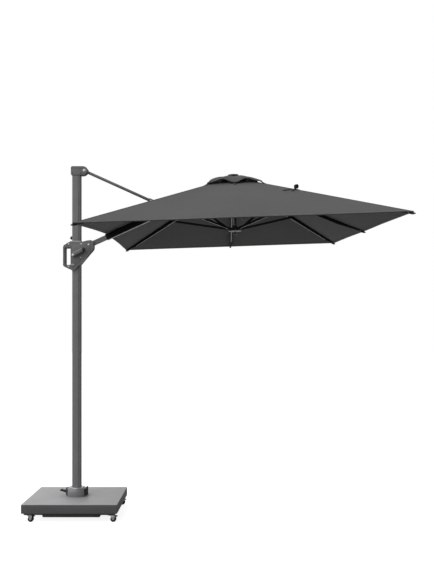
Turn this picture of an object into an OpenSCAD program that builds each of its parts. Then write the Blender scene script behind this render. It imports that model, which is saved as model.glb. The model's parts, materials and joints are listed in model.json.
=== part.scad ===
// Cantilever parasol with an offset mast, a folding arm and a weighted base on casters.
// Units are millimetres. +Z is up, +X points from the mast to the canopy.
// The origin lies on the floor under the middle of the whole parasol.

/* [Canopy] */
// rim length across the arm, from the near rim to the far rim
canopy_w = 3000; // [2900:10:3040]
// rim length along the arm
canopy_l = 1976; // [1960:2:2040]
// height from the rim up to the meeting point of the ribs
canopy_rise = 436; // [400:2:450]
// thickness of the canopy fabric with its lining
fabric_t = 3; // [2:0.5:4]
// sideways lean of the canopy, far side up, in degrees
lean_side = 3.2; // [0:0.1:4]
// lean of the canopy along the arm, outer side up, in degrees
lean_out = 1.95; // [0:0.05:3]

/* [Mast] */
// top of the mast tube above the floor
mast_top = 2600; // [2595:1:2610]
// width of the mast section along the arm
mast_w = 68; // [66:1:72]
// depth of the mast section
mast_d = 56; // [50:1:56]
// wall of the mast tube
mast_wall = 3; // [2:0.5:4]

/* [Base] */
// side of the square base slab
slab_w = 692; // [680:2:720]
// thickness of the base slab
slab_t = 65; // [55:1:65]
// diameter of the foot collar
collar_d = 160; // [150:1:164]
// height of the foot collar above the slab
collar_h = 62; // [56:1:66]
// diameter of a caster wheel
wheel_d = 42; // [40:1:43]
// distance of each caster from the middle of the base
caster_at = 299; // [295:1:310]

/* [Arm and strut] */
// depth of the arm tube
arm_h = 36; // [32:1:37]
// width of the arm tube
arm_w = 30; // [26:1:30]
// diameter of the strut tube
strut_d = 22; // [18:1:24]
// radial clearance of the hinge pins in their bores
pin_gap = 0.05; // [0.03:0.01:0.08]

/* [Ribs] */
// width of a rib
rib_w = 14; // [10:1:14]
// depth of a rib
rib_h = 24; // [20:1:24]
// width of a stretcher
bar_w = 8; // [6:1:8]
// depth of a stretcher
bar_h = 16; // [12:1:18]

/* [Hidden] */
$fn = 48;
eps = 0.01;
mast_x = -925;
mast_y = -24;
slab_z = 66;
slab_top = slab_z + slab_t;
pivot_x = 60.5;
pivot_z = 2599;
hinge_x = 95;
hinge_z = 2035;
arm_up = 24.4655;
arm_len = 1115.1;
arm_joint = 664.7;
strut_down = 24.3;
strut_len = 701.6;
crown_x = 1190;
crown_z = 2530;
rib_hinge_r = 75;
runner_r = 40;
runner_depth = 372;
runner_closed = 664;
closed_angle = 87;
corner_a = 880;
half_w = canopy_w / 2;
half_l = canopy_l / 2;
corner_r = sqrt(half_w * half_w + half_l * half_l);
corner_az = atan2(half_w, half_l);
slope_out = atan(canopy_rise / half_l);
slope_mid = atan(canopy_rise / half_w);
slope_corner = atan(canopy_rise / corner_r);
offset_in = rib_hinge_r - runner_r;
fabric_up = 19;
wheel_r = wheel_d / 2;
pin_r = 3;
pin_big = 5;
collar_top = slab_top + collar_h;
tube_pitch = -arm_up;
arm_run_x = 303;
arm_run_z = 233;

// where a short stretcher meets its rib, so that both reach the folded runner
function meet(slope, z_h) =
    (pow(runner_closed - z_h, 2) - pow(runner_depth - z_h, 2))
    / (2 * (offset_in * (cos(slope) - cos(closed_angle))
    - (runner_depth - z_h) * sin(slope) + (runner_closed - z_h) * sin(closed_angle)));
// depth of a rib's hinge below the meeting point of the ribs
function hinge_drop(slope) = rib_hinge_r * tan(slope);
// sideways and downward run of a stretcher from the runner to its rib
function run_x(slope, a) = offset_in + a * cos(slope);
function run_z(slope, a) = runner_depth - hinge_drop(slope) - a * sin(slope);

// places a child that is drawn with the mast axis at zero
module at_mast() {
    translate([mast_x, mast_y, 0]) children();
}

// places a child that is drawn in the canopy's own leaning frame
module at_crown() {
    at_mast() translate([crown_x, 0, crown_z]) rotate([lean_side, -lean_out, 0]) children();
}

// places a child along the arm, from the carriage hinge
module at_arm() {
    at_mast() translate([hinge_x, 0, hinge_z]) rotate([0, tube_pitch, 0]) children();
}

// places a child along the strut, from the mast head
module at_strut() {
    at_mast() translate([pivot_x, 0, pivot_z]) rotate([0, strut_down, 0]) children();
}

// rectangle with round corners, centred
module round_rect(w, d, r) {
    square([w - 2 * r, d], center = true);
    square([w, d - 2 * r], center = true);
    for (sx = [-1, 1]) {
        for (sy = [-1, 1]) {
            translate([sx * (w / 2 - r), sy * (d / 2 - r)]) circle(r = r);
        }
    }
}

// cylinder along Y, centred
module pin_y(r, l) {
    rotate([90, 0, 0]) cylinder(r = r, h = l, center = true);
}

// flat outline drawn in X and Z, with a thickness from y0 to y1
module plate_xz(y0, y1) {
    translate([0, y1, 0]) rotate([90, 0, 0]) linear_extrude(height = y1 - y0) children();
}

module slab() {
    color([0.62, 0.62, 0.63])
    at_mast() difference() {
        translate([0, 0, slab_z]) linear_extrude(height = slab_t) round_rect(slab_w, slab_w, 6);
        translate([0, 0, slab_top - 12]) cylinder(d = 130, h = 20);
    }
}

// one flat bar of the frame that carries the slab
module frame_bar(x, y, w, d) {
    color([0.08, 0.08, 0.08])
    at_mast() translate([x, y, 60]) cube([w, d, 12], center = true);
}

module frame_long() {
    frame_bar(0, -305, 660, 50);
    frame_bar(0, 305, 660, 50);
}

module frame_cross() {
    frame_bar(-305, 0, 50, 560);
    frame_bar(305, 0, 50, 560);
}

module tray() {
    color([0.3, 0.3, 0.31])
    at_mast() difference() {
        plate_xz(-250, 250)
            polygon([[-205, 20], [205, 20], [212, 27], [212, slab_z], [-212, slab_z], [-212, 27]]);
        plate_xz(-246, 246)
            polygon([[-203, 24], [203, 24], [208, 29], [208, 80], [-208, 80], [-208, 29]]);
    }
}

module caster_spot(sx, sy) {
    at_mast() translate([sx * caster_at, sy * caster_at, 0]) children();
}

module caster_plates() {
    color([0.7, 0.7, 0.72])
    for (sx = [-1, 1]) {
        for (sy = [-1, 1]) {
            caster_spot(sx, sy) difference() {
                union() {
                    translate([0, 0, 50.5]) linear_extrude(height = 3.5) round_rect(50, 50, 6);
                    translate([0, 0, 47.5]) cylinder(d = 30, h = 3);
                }
                translate([0, 0, 40]) cylinder(r = 4 + pin_gap, h = 14 + eps);
            }
        }
    }
}

// swivel fork of one caster with its upright pin and its axle
module fork_at(sx, sy) {
    color([0.75, 0.75, 0.77])
    caster_spot(sx, sy) mirror([1, 0, 0]) difference() {
        union() {
            translate([0, 0, 43.6]) cylinder(d = 28, h = 3.6);
            translate([-8.5, 0, 45]) cube([23, 37, 2.8], center = true);
            for (s = [-1, 1]) {
                plate_xz(s * 17 - 1.5, s * 17 + 1.5)
                    polygon([[-27.5, 46.4], [3, 46.4], [2, 40], [-7, 17], [-15, 13], [-23, 19], [-27.5, 40]]);
            }
            translate([-24, 0, 44.2]) pin_y(1.5, 34);
            translate([-15, 0, wheel_r]) pin_y(3, 37);
            translate([0, 0, 45]) cylinder(r = 4, h = 8.5);
        }
        translate([-30, -40, -5]) cube([60, 21, 80]);
    }
}

module wheel_at(sx, sy) {
    color([0.05, 0.05, 0.05])
    caster_spot(sx, sy) translate([15, 0, wheel_r]) rotate([90, 0, 0]) rotate_extrude()
        polygon([
            [3 + pin_gap, -14], [9, -14], [10, -12], [17, -12], [wheel_r - 2, -13.5], [wheel_r, -11.5],
            [wheel_r, -2.5], [wheel_r - 2, -1], [17, -1], [17, 1], [wheel_r - 2, 1], [wheel_r, 2.5],
            [wheel_r, 11.5], [wheel_r - 2, 13.5], [17, 12], [10, 12], [9, 14], [3 + pin_gap, 14]
        ]);
}

module brake_at(sx, sy) {
    color([0.04, 0.04, 0.04])
    caster_spot(sx, sy) mirror([1, 0, 0]) difference() {
        plate_xz(-14.5, 14.5) {
            polygon([[-24, 47], [-44, 42], [-45, 38.5], [-41, 38.5], [-24, 42]]);
            translate([-24, 44.2]) circle(r = 2.8);
        }
        translate([-24, 0, 44.2]) pin_y(1.5 + pin_gap, 40);
    }
}

module collar() {
    color([0.33, 0.33, 0.34])
    at_mast() translate([0, 0, slab_top]) difference() {
        rotate_extrude() polygon([
            [56.05, -12], [64.9, -12], [64.9, 0], [collar_d / 2 - 3, 0], [collar_d / 2 - 1, 8],
            [collar_d / 2, 20], [collar_d / 2, 36], [collar_d / 2 - 3, 48], [collar_d / 2 - 9, 57],
            [collar_d / 2 - 15, collar_h], [56.05, collar_h]
        ]);
        translate([75.5, -11, 6]) cube([10, 22, 70]);
        translate([-86, -16.5, 18]) cube([20, 33, 60]);
    }
    color([0.33, 0.33, 0.34])
    at_mast() translate([-76, 0, slab_top + 28]) pin_y(3, 40);
}

module collar_bolts() {
    color([0.72, 0.72, 0.74])
    at_mast() for (a = [45, 135, 225, 315]) {
        rotate([0, 0, a]) translate([69, 0, collar_top - 4]) rotate([0, 0, 0]) {
            translate([-4, 0, 4.1]) cylinder(r = 5, h = 4);
        }
    }
}

module collar_lug() {
    color([0.1, 0.1, 0.1])
    at_mast() difference() {
        translate([75.5, -10.5, slab_top + 6]) cube([9, 21, collar_h + 2]);
        translate([80, 0, slab_top + 46]) rotate([0, 90, 0]) cylinder(r = 3, h = 30, center = true);
    }
}

module pedal() {
    color([0.16, 0.16, 0.16])
    at_mast() difference() {
        union() {
            plate_xz(-15.5, 15.5) polygon([
                [-68, slab_top + 20.5], [-70, slab_top + 36], [-82, slab_top + 42], [-122, slab_top + 48],
                [-127, slab_top + 44], [-126, slab_top + 39], [-90, slab_top + 28], [-80, slab_top + 20.5]
            ]);
            translate([-112, 0, slab_top + 44]) cylinder(r = 7, h = 6);
        }
        translate([-76, 0, slab_top + 28]) pin_y(3.05, 60);
    }
}

module mast_socket() {
    color([0.55, 0.55, 0.57])
    at_mast() translate([0, 0, slab_top - 11.7]) difference() {
        cylinder(r = 56, h = collar_h + 17);
        translate([0, 0, 12]) linear_extrude(height = 100) round_rect(mast_w, mast_d, 14);
        translate([-33, 0, collar_h + 24]) cube([20, 30, 30], center = true);
    }
}

module mast_tube() {
    color([0.34, 0.34, 0.35])
    at_mast() difference() {
        translate([0, 0, slab_top + 0.3]) linear_extrude(height = mast_top - slab_top - 0.3) difference() {
            round_rect(mast_w, mast_d, 14);
            round_rect(mast_w - 2 * mast_wall, mast_d - 2 * mast_wall, 11);
            translate([17, -mast_d / 2]) square([9, 3], center = true);
            translate([17, mast_d / 2]) square([9, 3], center = true);
        }
        translate([-mast_w / 2, 0, 2090]) cube([20, 12.4, 32.4], center = true);
    }
}

module mast_rail() {
    color([0.06, 0.06, 0.06])
    at_mast() for (s = [-1, 1]) {
        translate([17, s * (mast_d / 2 - 0.75), 1330]) cube([9, 1.5, 2240], center = true);
    }
}

module mast_head() {
    color([0.3, 0.3, 0.31])
    at_mast() difference() {
        union() {
            plate_xz(-34, 34) {
                polygon([
                    [-41, 2570], [-41, 2622], [-33, 2630], [52, 2630], [72, 2624], [72, 2574],
                    [60, 2566], [44, 2564], [-38, 2564]
                ]);
                translate([62, 2599]) circle(r = 25);
            }
        }
        translate([0, 0, 2500]) linear_extrude(height = 100.3) round_rect(mast_w + 0.6, mast_d + 0.6, 14.3);
        translate([72, 0, 2600]) cube([64, 20.6, 90], center = true);
        translate([pivot_x, 0, pivot_z]) pin_y(pin_big, 80);
        translate([0, 0, 2609]) cube([40, 40, 10], center = true);
    }
}

module head_bolt() {
    color([0.72, 0.72, 0.74])
    at_mast() translate([pivot_x, 0, pivot_z]) {
        pin_y(pin_big, 68);
        translate([0, -36, 0]) pin_y(9, 4);
        translate([0, 36, 0]) pin_y(9, 4);
    }
}

module stop_knob() {
    color([0.07, 0.07, 0.07])
    at_mast() {
        plate_xz(-6, 6) polygon([[-34, 2075], [-40, 2076], [-51, 2082], [-51, 2092], [-40, 2104], [-34, 2105]]);
    }
}

// outline of the carriage housing, seen from the front
module carriage_outline() {
    polygon([
        [-98, 1880], [-98, 2018], [-93, 2030], [-77, 2040], [-60, 2052], [-52, 2055], [43, 2055],
        [60, 2060], [83, 2066], [112, 2069], [125, 2064], [131, 2053], [130, 2014], [125, 1999],
        [104, 1975], [42, 1901], [26, 1881], [-6, 1846], [-20, 1838], [-29, 1837], [-37, 1844],
        [-86, 1866], [-95, 1873]
    ]);
}

module carriage_cuts() {
    plate_xz(-60, 60) translate([-63, 1947]) round_rect(46, 134, 12);
    translate([0, 0, 1800]) linear_extrude(height = 300) round_rect(mast_w + 0.8, mast_d + 0.8, 14.4);
    translate([108, 0, 2010]) cube([68, 37, 160], center = true);
    translate([hinge_x, 0, hinge_z]) pin_y(pin_big, 120);
}

module carriage_front() {
    color([0.3, 0.3, 0.31])
    at_mast() difference() {
        plate_xz(-44, -0.15) carriage_outline();
        carriage_cuts();
        translate([-20, -44, 1955]) pin_y(12, 16);
    }
}

module carriage_back() {
    color([0.3, 0.3, 0.31])
    at_mast() difference() {
        plate_xz(0.15, 44) carriage_outline();
        carriage_cuts();
    }
}

module carriage_bolts() {
    color([0.72, 0.72, 0.74])
    at_mast() {
        for (p = [[-55, 2040], [39, 2040], [37, 1938], [-56, 1870]]) {
            translate([p[0], -45.5, p[1]]) pin_y(6, 3);
            translate([p[0], 45.5, p[1]]) pin_y(6, 3);
        }
        translate([hinge_x, 0, hinge_z]) {
            pin_y(pin_big, 88);
            translate([0, -46, 0]) pin_y(10, 4);
            translate([0, 46, 0]) pin_y(10, 4);
        }
    }
}

module carriage_rim() {
    color([0.68, 0.68, 0.69])
    at_mast() translate([-4, 0, 2055]) linear_extrude(height = 9) difference() {
        round_rect(92, 80, 18);
        translate([4, 0]) round_rect(mast_w + 0.8, mast_d + 0.8, 14.4);
    }
}

module crank_arm() {
    color([0.2, 0.2, 0.21])
    at_mast() difference() {
        union() {
            translate([-20, -47, 1955]) pin_y(11.95, 20);
            translate([-20, -61, 1955]) rotate([0, -27.2, 0]) {
                pin_y(13, 11);
                translate([46, 0, 0]) cube([92, 11, 23], center = true);
                translate([92, 0, 0]) pin_y(11.5, 11);
            }
        }
        translate([-20, 0, 1955]) rotate([0, -27.2, 0]) translate([92, -61, 0]) pin_y(3.05, 30);
    }
}

module crank_knob() {
    color([0.06, 0.06, 0.06])
    at_mast() translate([-20, 0, 1955]) rotate([0, -27.2, 0]) translate([92, 0, 0]) {
        translate([0, -66, 0]) pin_y(3, 22);
        translate([0, -83, 0]) pin_y(11, 32);
    }
}

module arm_tube() {
    color([0.34, 0.34, 0.35])
    at_arm() difference() {
        union() {
            translate([arm_len / 2, 0, 0]) cube([arm_len, arm_w, arm_h], center = true);
            pin_y(arm_h / 2, arm_w);
            translate([arm_len, 0, 0]) pin_y(arm_h / 2, arm_w);
        }
        pin_y(pin_big + pin_gap, 60);
        translate([arm_len, 0, 0]) pin_y(pin_big + pin_gap, 60);
        translate([arm_len / 2, 0, 0]) cube([arm_len - 160, arm_w - 5, arm_h - 5], center = true);
    }
}

module arm_sleeve() {
    color([0.07, 0.07, 0.07])
    at_arm() difference() {
        translate([601, 0, 0]) cube([918, arm_w + 6, arm_h + 10], center = true);
        translate([601, 0, 0]) cube([940, arm_w, arm_h], center = true);
    }
}

module arm_rail() {
    color([0.1, 0.1, 0.1])
    at_arm() translate([595, 0, arm_h / 2 + 7]) cube([810, 12, 4], center = true);
}

module strut_tube() {
    color([0.34, 0.34, 0.35])
    at_strut() difference() {
        union() {
            pin_y(15, 20);
            translate([12, 0, 0]) rotate([0, 90, 0]) cylinder(d = strut_d, h = strut_len - 152);
        }
        pin_y(pin_big + pin_gap, 40);
        for (s = [-1, 1]) {
            translate([0, s * 20, 0]) cube([60, 20, 60], center = true);
        }
    }
}

module strut_fork() {
    color([0.08, 0.08, 0.08])
    at_strut() difference() {
        union() {
            translate([strut_len - 150, 0, 0]) cube([30, 46, 26], center = true);
            for (s = [-1, 1]) {
                translate([strut_len - 75, s * 21, 0]) cube([150, 4, 26], center = true);
                translate([strut_len, s * 21, 0]) pin_y(15, 4);
                translate([strut_len, s * 24.5, 0]) pin_y(8, 4);
            }
        }
        translate([strut_len - 170, 0, 0]) rotate([0, 90, 0]) cylinder(d = strut_d + 0.1, h = 30.1);
    }
}

module crown_hub() {
    color([0.12, 0.12, 0.12])
    union() {
        at_crown() difference() {
            union() {
                translate([0, 0, -52]) cylinder(r = 96, h = 48, $fn = 96);
                translate([0, 0, -4]) cylinder(r1 = 96, r2 = 70, h = 8, $fn = 96);
            }
            for (a = [0, corner_az, 90, 180 - corner_az, 180 + corner_az, 270, 360 - corner_az]) {
                rotate([0, 0, a]) translate([56, -rib_w / 2 - 0.6, -60]) cube([60, rib_w + 1.2, 80]);
            }
            translate([-120, -30, -90]) cube([92, 60, 130]);
        }
        rib_pin(0, slope_out);
        rib_pin(90, slope_mid);
        rib_pin(270, slope_mid);
        for (a = [corner_az, 180 - corner_az, 180 + corner_az, 360 - corner_az]) {
            rib_pin(a, slope_corner);
        }
        at_mast() translate([crown_x, 0, crown_z - 33]) {
            translate([-80, 0, -0.2]) pin_y(pin_big, 46);
            for (s = [-1, 1]) {
                plate_xz(s * 19.5 - 4, s * 19.5 + 4) {
                    translate([-80, -0.2]) circle(r = 15);
                    translate([-80, -13]) square([55, 26]);
                }
            }
        }
    }
}

module rib_pin(az, slope) {
    at_crown() rotate([0, 0, az]) translate([rib_hinge_r, 0, -hinge_drop(slope)]) pin_y(pin_r, rib_w + 4);
}

module crown_cap() {
    color([0.36, 0.36, 0.37])
    at_crown() {
        translate([0, 0, 4]) cylinder(r = 14, h = 24);
        translate([0, 0, 28]) rotate_extrude() polygon([[0, 0], [46, 0], [46, 4], [42, 7.5], [30, 9.2], [0, 9.8]]);
    }
}

module rib(az, slope, reach) {
    color([0.05, 0.05, 0.05])
    at_crown() rotate([0, 0, az]) translate([rib_hinge_r, 0, -hinge_drop(slope)]) rotate([0, slope, 0])
        difference() {
            union() {
                translate([reach / 2, 0, 0]) cube([reach, rib_w, rib_h], center = true);
                pin_y(rib_h / 2, rib_w);
            }
            pin_y(pin_r + pin_gap, 40);
            translate([18, 1.5 - rib_w / 2, 1.5 - rib_h / 2]) cube([reach, rib_w - 3, rib_h - 3]);
        }
}

// length of a rib from its hinge to its tip under the rim
function rib_reach(r, slope) = (r - rib_hinge_r) / cos(slope) - 14;

module rib_out() {
    rib(0, slope_out, rib_reach(half_l, slope_out));
}

module rib_near() {
    rib(270, slope_mid, rib_reach(half_w, slope_mid));
}

module rib_far() {
    rib(90, slope_mid, rib_reach(half_w, slope_mid));
}

module rib_near_out() {
    rib(360 - corner_az, slope_corner, rib_reach(corner_r, slope_corner));
}

module rib_far_out() {
    rib(corner_az, slope_corner, rib_reach(corner_r, slope_corner));
}

module rib_near_in() {
    rib(180 + corner_az, slope_corner, rib_reach(corner_r, slope_corner));
}

module rib_far_in() {
    rib(180 - corner_az, slope_corner, rib_reach(corner_r, slope_corner));
}

// stretcher hinged on the runner, lying beside its rib
module bar(az, shift, dx, dz) {
    color([0.06, 0.06, 0.06])
    at_crown() rotate([0, 0, az]) translate([runner_r, shift, -runner_depth]) rotate([0, -atan2(dz, dx), 0])
        difference() {
            union() {
                translate([sqrt(dx * dx + dz * dz) / 2, 0, 0])
                    cube([sqrt(dx * dx + dz * dz), bar_w, bar_h], center = true);
                pin_y(bar_h / 2, bar_w);
                translate([sqrt(dx * dx + dz * dz), 0, 0]) pin_y(bar_h / 2, bar_w);
            }
            pin_y(2.5 + pin_gap, 30);
        }
}

module bar_short(az, slope) {
    a = meet(slope, hinge_drop(slope));
    bar(az, -12, run_x(slope, a), run_z(slope, a));
}

module bar_long(az) {
    bar(az, -12, run_x(slope_corner, corner_a), run_z(slope_corner, corner_a));
}

module bar_out() {
    bar_short(0, slope_out);
}

module bar_near() {
    bar_short(270, slope_mid);
}

module bar_far() {
    bar_short(90, slope_mid);
}

module bar_near_out() {
    bar_long(360 - corner_az);
}

module bar_far_out() {
    bar_long(corner_az);
}

module bar_near_in() {
    bar_long(180 + corner_az);
}

module bar_far_in() {
    bar_long(180 - corner_az);
}

module bar_arm() {
    bar(180, -26, arm_run_x, arm_run_z);
}

module runner_slot(az, shift) {
    rotate([0, 0, az]) translate([27, shift - bar_w / 2 - 0.5, -30]) cube([40, bar_w + 1, 60]);
}

module runner_pin(az, shift) {
    rotate([0, 0, az]) translate([runner_r, shift, 0]) pin_y(2.5, bar_w + 4);
}

module runner_hub() {
    color([0.1, 0.1, 0.1])
    at_crown() translate([0, 0, -runner_depth]) {
        difference() {
            union() {
                translate([0, 0, -12]) cylinder(r = 54, h = 24, $fn = 72);
                translate([0, 0, 11]) cylinder(r = 18, h = 12);
            }
            for (a = [0, corner_az, 90, 180 - corner_az, 180 + corner_az, 270, 360 - corner_az]) {
                runner_slot(a, -12);
            }
            runner_slot(180, -26);
        }
        for (a = [0, corner_az, 90, 180 - corner_az, 180 + corner_az, 270, 360 - corner_az]) {
            runner_pin(a, -12);
        }
        runner_pin(180, -26);
    }
}

module runner_pull() {
    color([0.72, 0.72, 0.73])
    at_crown() translate([0, 0, -runner_depth - 12]) {
        difference() {
            rotate_extrude() polygon([[0, 0], [50, 0], [48, -4], [20, -7], [10, -10], [0, -10]]);
            for (a = [corner_az, 180 - corner_az, 180 + corner_az, 360 - corner_az]) {
                runner_slot(a, -12);
            }
        }
        translate([0, 0, -16]) sphere(r = 10);
        translate([0, 0, -29]) rotate([90, 0, 0]) rotate_extrude() translate([9, 0]) circle(r = 2, $fn = 24);
    }
}

// rim points of the canopy, going round from the outer middle
function rim(s, up, arch) = [
    [half_l * s, 0, up - canopy_rise * s],
    [half_l * s, half_w * s, up - canopy_rise * s],
    [0, half_w * s, up - canopy_rise * s],
    [-half_l * s, half_w * s, up - canopy_rise * s],
    [-half_l * s, 0, up - canopy_rise * s + arch],
    [-half_l * s, -half_w * s, up - canopy_rise * s],
    [0, -half_w * s, up - canopy_rise * s],
    [half_l * s, -half_w * s, up - canopy_rise * s]
];

// tent-shaped shell between two rims
module tent(s_in, s_out, up, t, arch_in, arch_out) {
    points = concat(
        rim(s_out, up + t, arch_out), rim(s_in, up + t, arch_in),
        rim(s_out, up, arch_out), rim(s_in, up, arch_in)
    );
    top = [for (i = [0:7]) each [
        [i, 8 + i, 8 + (i + 1) % 8],
        [i, 8 + (i + 1) % 8, (i + 1) % 8]
    ]];
    under = [for (i = [0:7]) each [
        [16 + i, 24 + (i + 1) % 8, 24 + i],
        [16 + i, 16 + (i + 1) % 8, 24 + (i + 1) % 8]
    ]];
    outer = [for (i = [0:7]) each [
        [i, (i + 1) % 8, 16 + (i + 1) % 8],
        [i, 16 + (i + 1) % 8, 16 + i]
    ]];
    inner = [for (i = [0:7]) each [
        [8 + i, 24 + i, 24 + (i + 1) % 8],
        [8 + i, 24 + (i + 1) % 8, 8 + (i + 1) % 8]
    ]];
    polyhedron(points = points, faces = concat(top, under, outer, inner));
}

module canopy_skin() {
    color([0.36, 0.36, 0.36])
    at_crown() difference() {
        tent(0.13, 1, fabric_up - fabric_t, fabric_t, 34, 48);
        translate([-540, -11, -180]) cube([190, 70, 300], center = true);
    }
}

module canopy_vent() {
    color([0.36, 0.36, 0.36])
    at_crown() tent(0.04, 0.2, 41, 2.5, 0, 34);
}

module closing_strap() {
    color([0.05, 0.05, 0.05])
    at_crown() rotate([0, 0, 360 - corner_az]) translate([740, 0, fabric_up - 740 * tan(slope_corner)])
        rotate([0, slope_corner, 0]) {
            translate([-16, -14, 0.3]) cube([50, 28, 1.6]);
            translate([0, -10, 1.6]) cube([4, 20, 26]);
        }
}

module fork_nl() {
    fork_at(-1, -1);
}

module fork_nr() {
    fork_at(1, -1);
}

module fork_fl() {
    fork_at(-1, 1);
}

module fork_fr() {
    fork_at(1, 1);
}

module wheel_nl() {
    wheel_at(-1, -1);
}

module wheel_nr() {
    wheel_at(1, -1);
}

module wheel_fl() {
    wheel_at(-1, 1);
}

module wheel_fr() {
    wheel_at(1, 1);
}

module brake_nl() {
    brake_at(-1, -1);
}

module brake_nr() {
    brake_at(1, -1);
}

module brake_fl() {
    brake_at(-1, 1);
}

module brake_fr() {
    brake_at(1, 1);
}

slab();
frame_long();
frame_cross();
tray();
caster_plates();
collar();
collar_bolts();
collar_lug();
fork_nl();
fork_nr();
fork_fl();
fork_fr();
wheel_nl();
wheel_nr();
wheel_fl();
wheel_fr();
brake_nl();
brake_nr();
brake_fl();
brake_fr();
pedal();
mast_socket();
mast_tube();
mast_rail();
mast_head();
head_bolt();
stop_knob();
carriage_front();
carriage_back();
carriage_bolts();
carriage_rim();
crank_arm();
crank_knob();
arm_tube();
arm_sleeve();
arm_rail();
strut_tube();
strut_fork();
crown_hub();
crown_cap();
canopy_skin();
canopy_vent();
closing_strap();
runner_hub();
runner_pull();
rib_out();
rib_near();
rib_far();
rib_near_out();
rib_far_out();
rib_near_in();
rib_far_in();
bar_out();
bar_near();
bar_far();
bar_near_out();
bar_far_out();
bar_near_in();
bar_far_in();
bar_arm();
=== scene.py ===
"""Cantilever parasol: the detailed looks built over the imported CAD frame.

Every length is in metres, in the frame of the CAD model: +Z is up and +X runs from the mast to the canopy.
"""
from __future__ import annotations

import json
import logging
import math
from dataclasses import dataclass, field
from enum import Enum
from typing import Callable, ClassVar, Iterable, Sequence

import bmesh
import bpy
from mathutils import Matrix, Vector

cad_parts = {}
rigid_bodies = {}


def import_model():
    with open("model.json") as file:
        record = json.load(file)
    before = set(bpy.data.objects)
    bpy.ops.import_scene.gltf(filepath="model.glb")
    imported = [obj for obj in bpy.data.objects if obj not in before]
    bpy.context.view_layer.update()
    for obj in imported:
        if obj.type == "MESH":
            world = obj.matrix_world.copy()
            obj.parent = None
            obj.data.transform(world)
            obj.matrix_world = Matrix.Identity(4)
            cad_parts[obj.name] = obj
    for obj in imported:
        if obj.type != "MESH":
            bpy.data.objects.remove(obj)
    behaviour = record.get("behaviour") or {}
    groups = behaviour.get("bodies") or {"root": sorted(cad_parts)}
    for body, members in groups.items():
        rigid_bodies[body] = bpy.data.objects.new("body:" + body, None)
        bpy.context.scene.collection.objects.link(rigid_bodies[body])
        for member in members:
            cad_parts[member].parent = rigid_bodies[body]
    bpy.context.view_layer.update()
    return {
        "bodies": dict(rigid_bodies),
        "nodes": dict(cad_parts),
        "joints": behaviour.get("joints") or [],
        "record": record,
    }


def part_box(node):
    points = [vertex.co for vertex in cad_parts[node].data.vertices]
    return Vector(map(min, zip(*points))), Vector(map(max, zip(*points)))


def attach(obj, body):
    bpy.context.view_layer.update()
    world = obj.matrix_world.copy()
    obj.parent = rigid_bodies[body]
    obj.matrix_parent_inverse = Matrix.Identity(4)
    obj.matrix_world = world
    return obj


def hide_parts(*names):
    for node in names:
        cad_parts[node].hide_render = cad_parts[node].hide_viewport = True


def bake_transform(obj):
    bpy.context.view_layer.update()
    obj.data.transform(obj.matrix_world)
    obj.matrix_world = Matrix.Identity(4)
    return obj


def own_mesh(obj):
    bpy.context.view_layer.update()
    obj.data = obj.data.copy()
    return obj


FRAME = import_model()
LOG = logging.getLogger("parasol")
Point = tuple[float, float, float]
Colour = tuple[float, float, float]


class Axis(Enum):
    """The main directions of the frame."""

    X = (1.0, 0.0, 0.0)
    Y = (0.0, 1.0, 0.0)
    Z = (0.0, 0.0, 1.0)

    @property
    def vector(self) -> Vector:
        """The direction as a vector."""
        return Vector(self.value)


class Weave(Enum):
    """How a cloth is woven, as threads per metre and the height of a thread."""

    CANOPY = (1400.0, 0.00012)
    WEBBING = (520.0, 0.0004)


# ---------------------------------------------------------------------------------------------------------
# Finishes
# ---------------------------------------------------------------------------------------------------------


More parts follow.
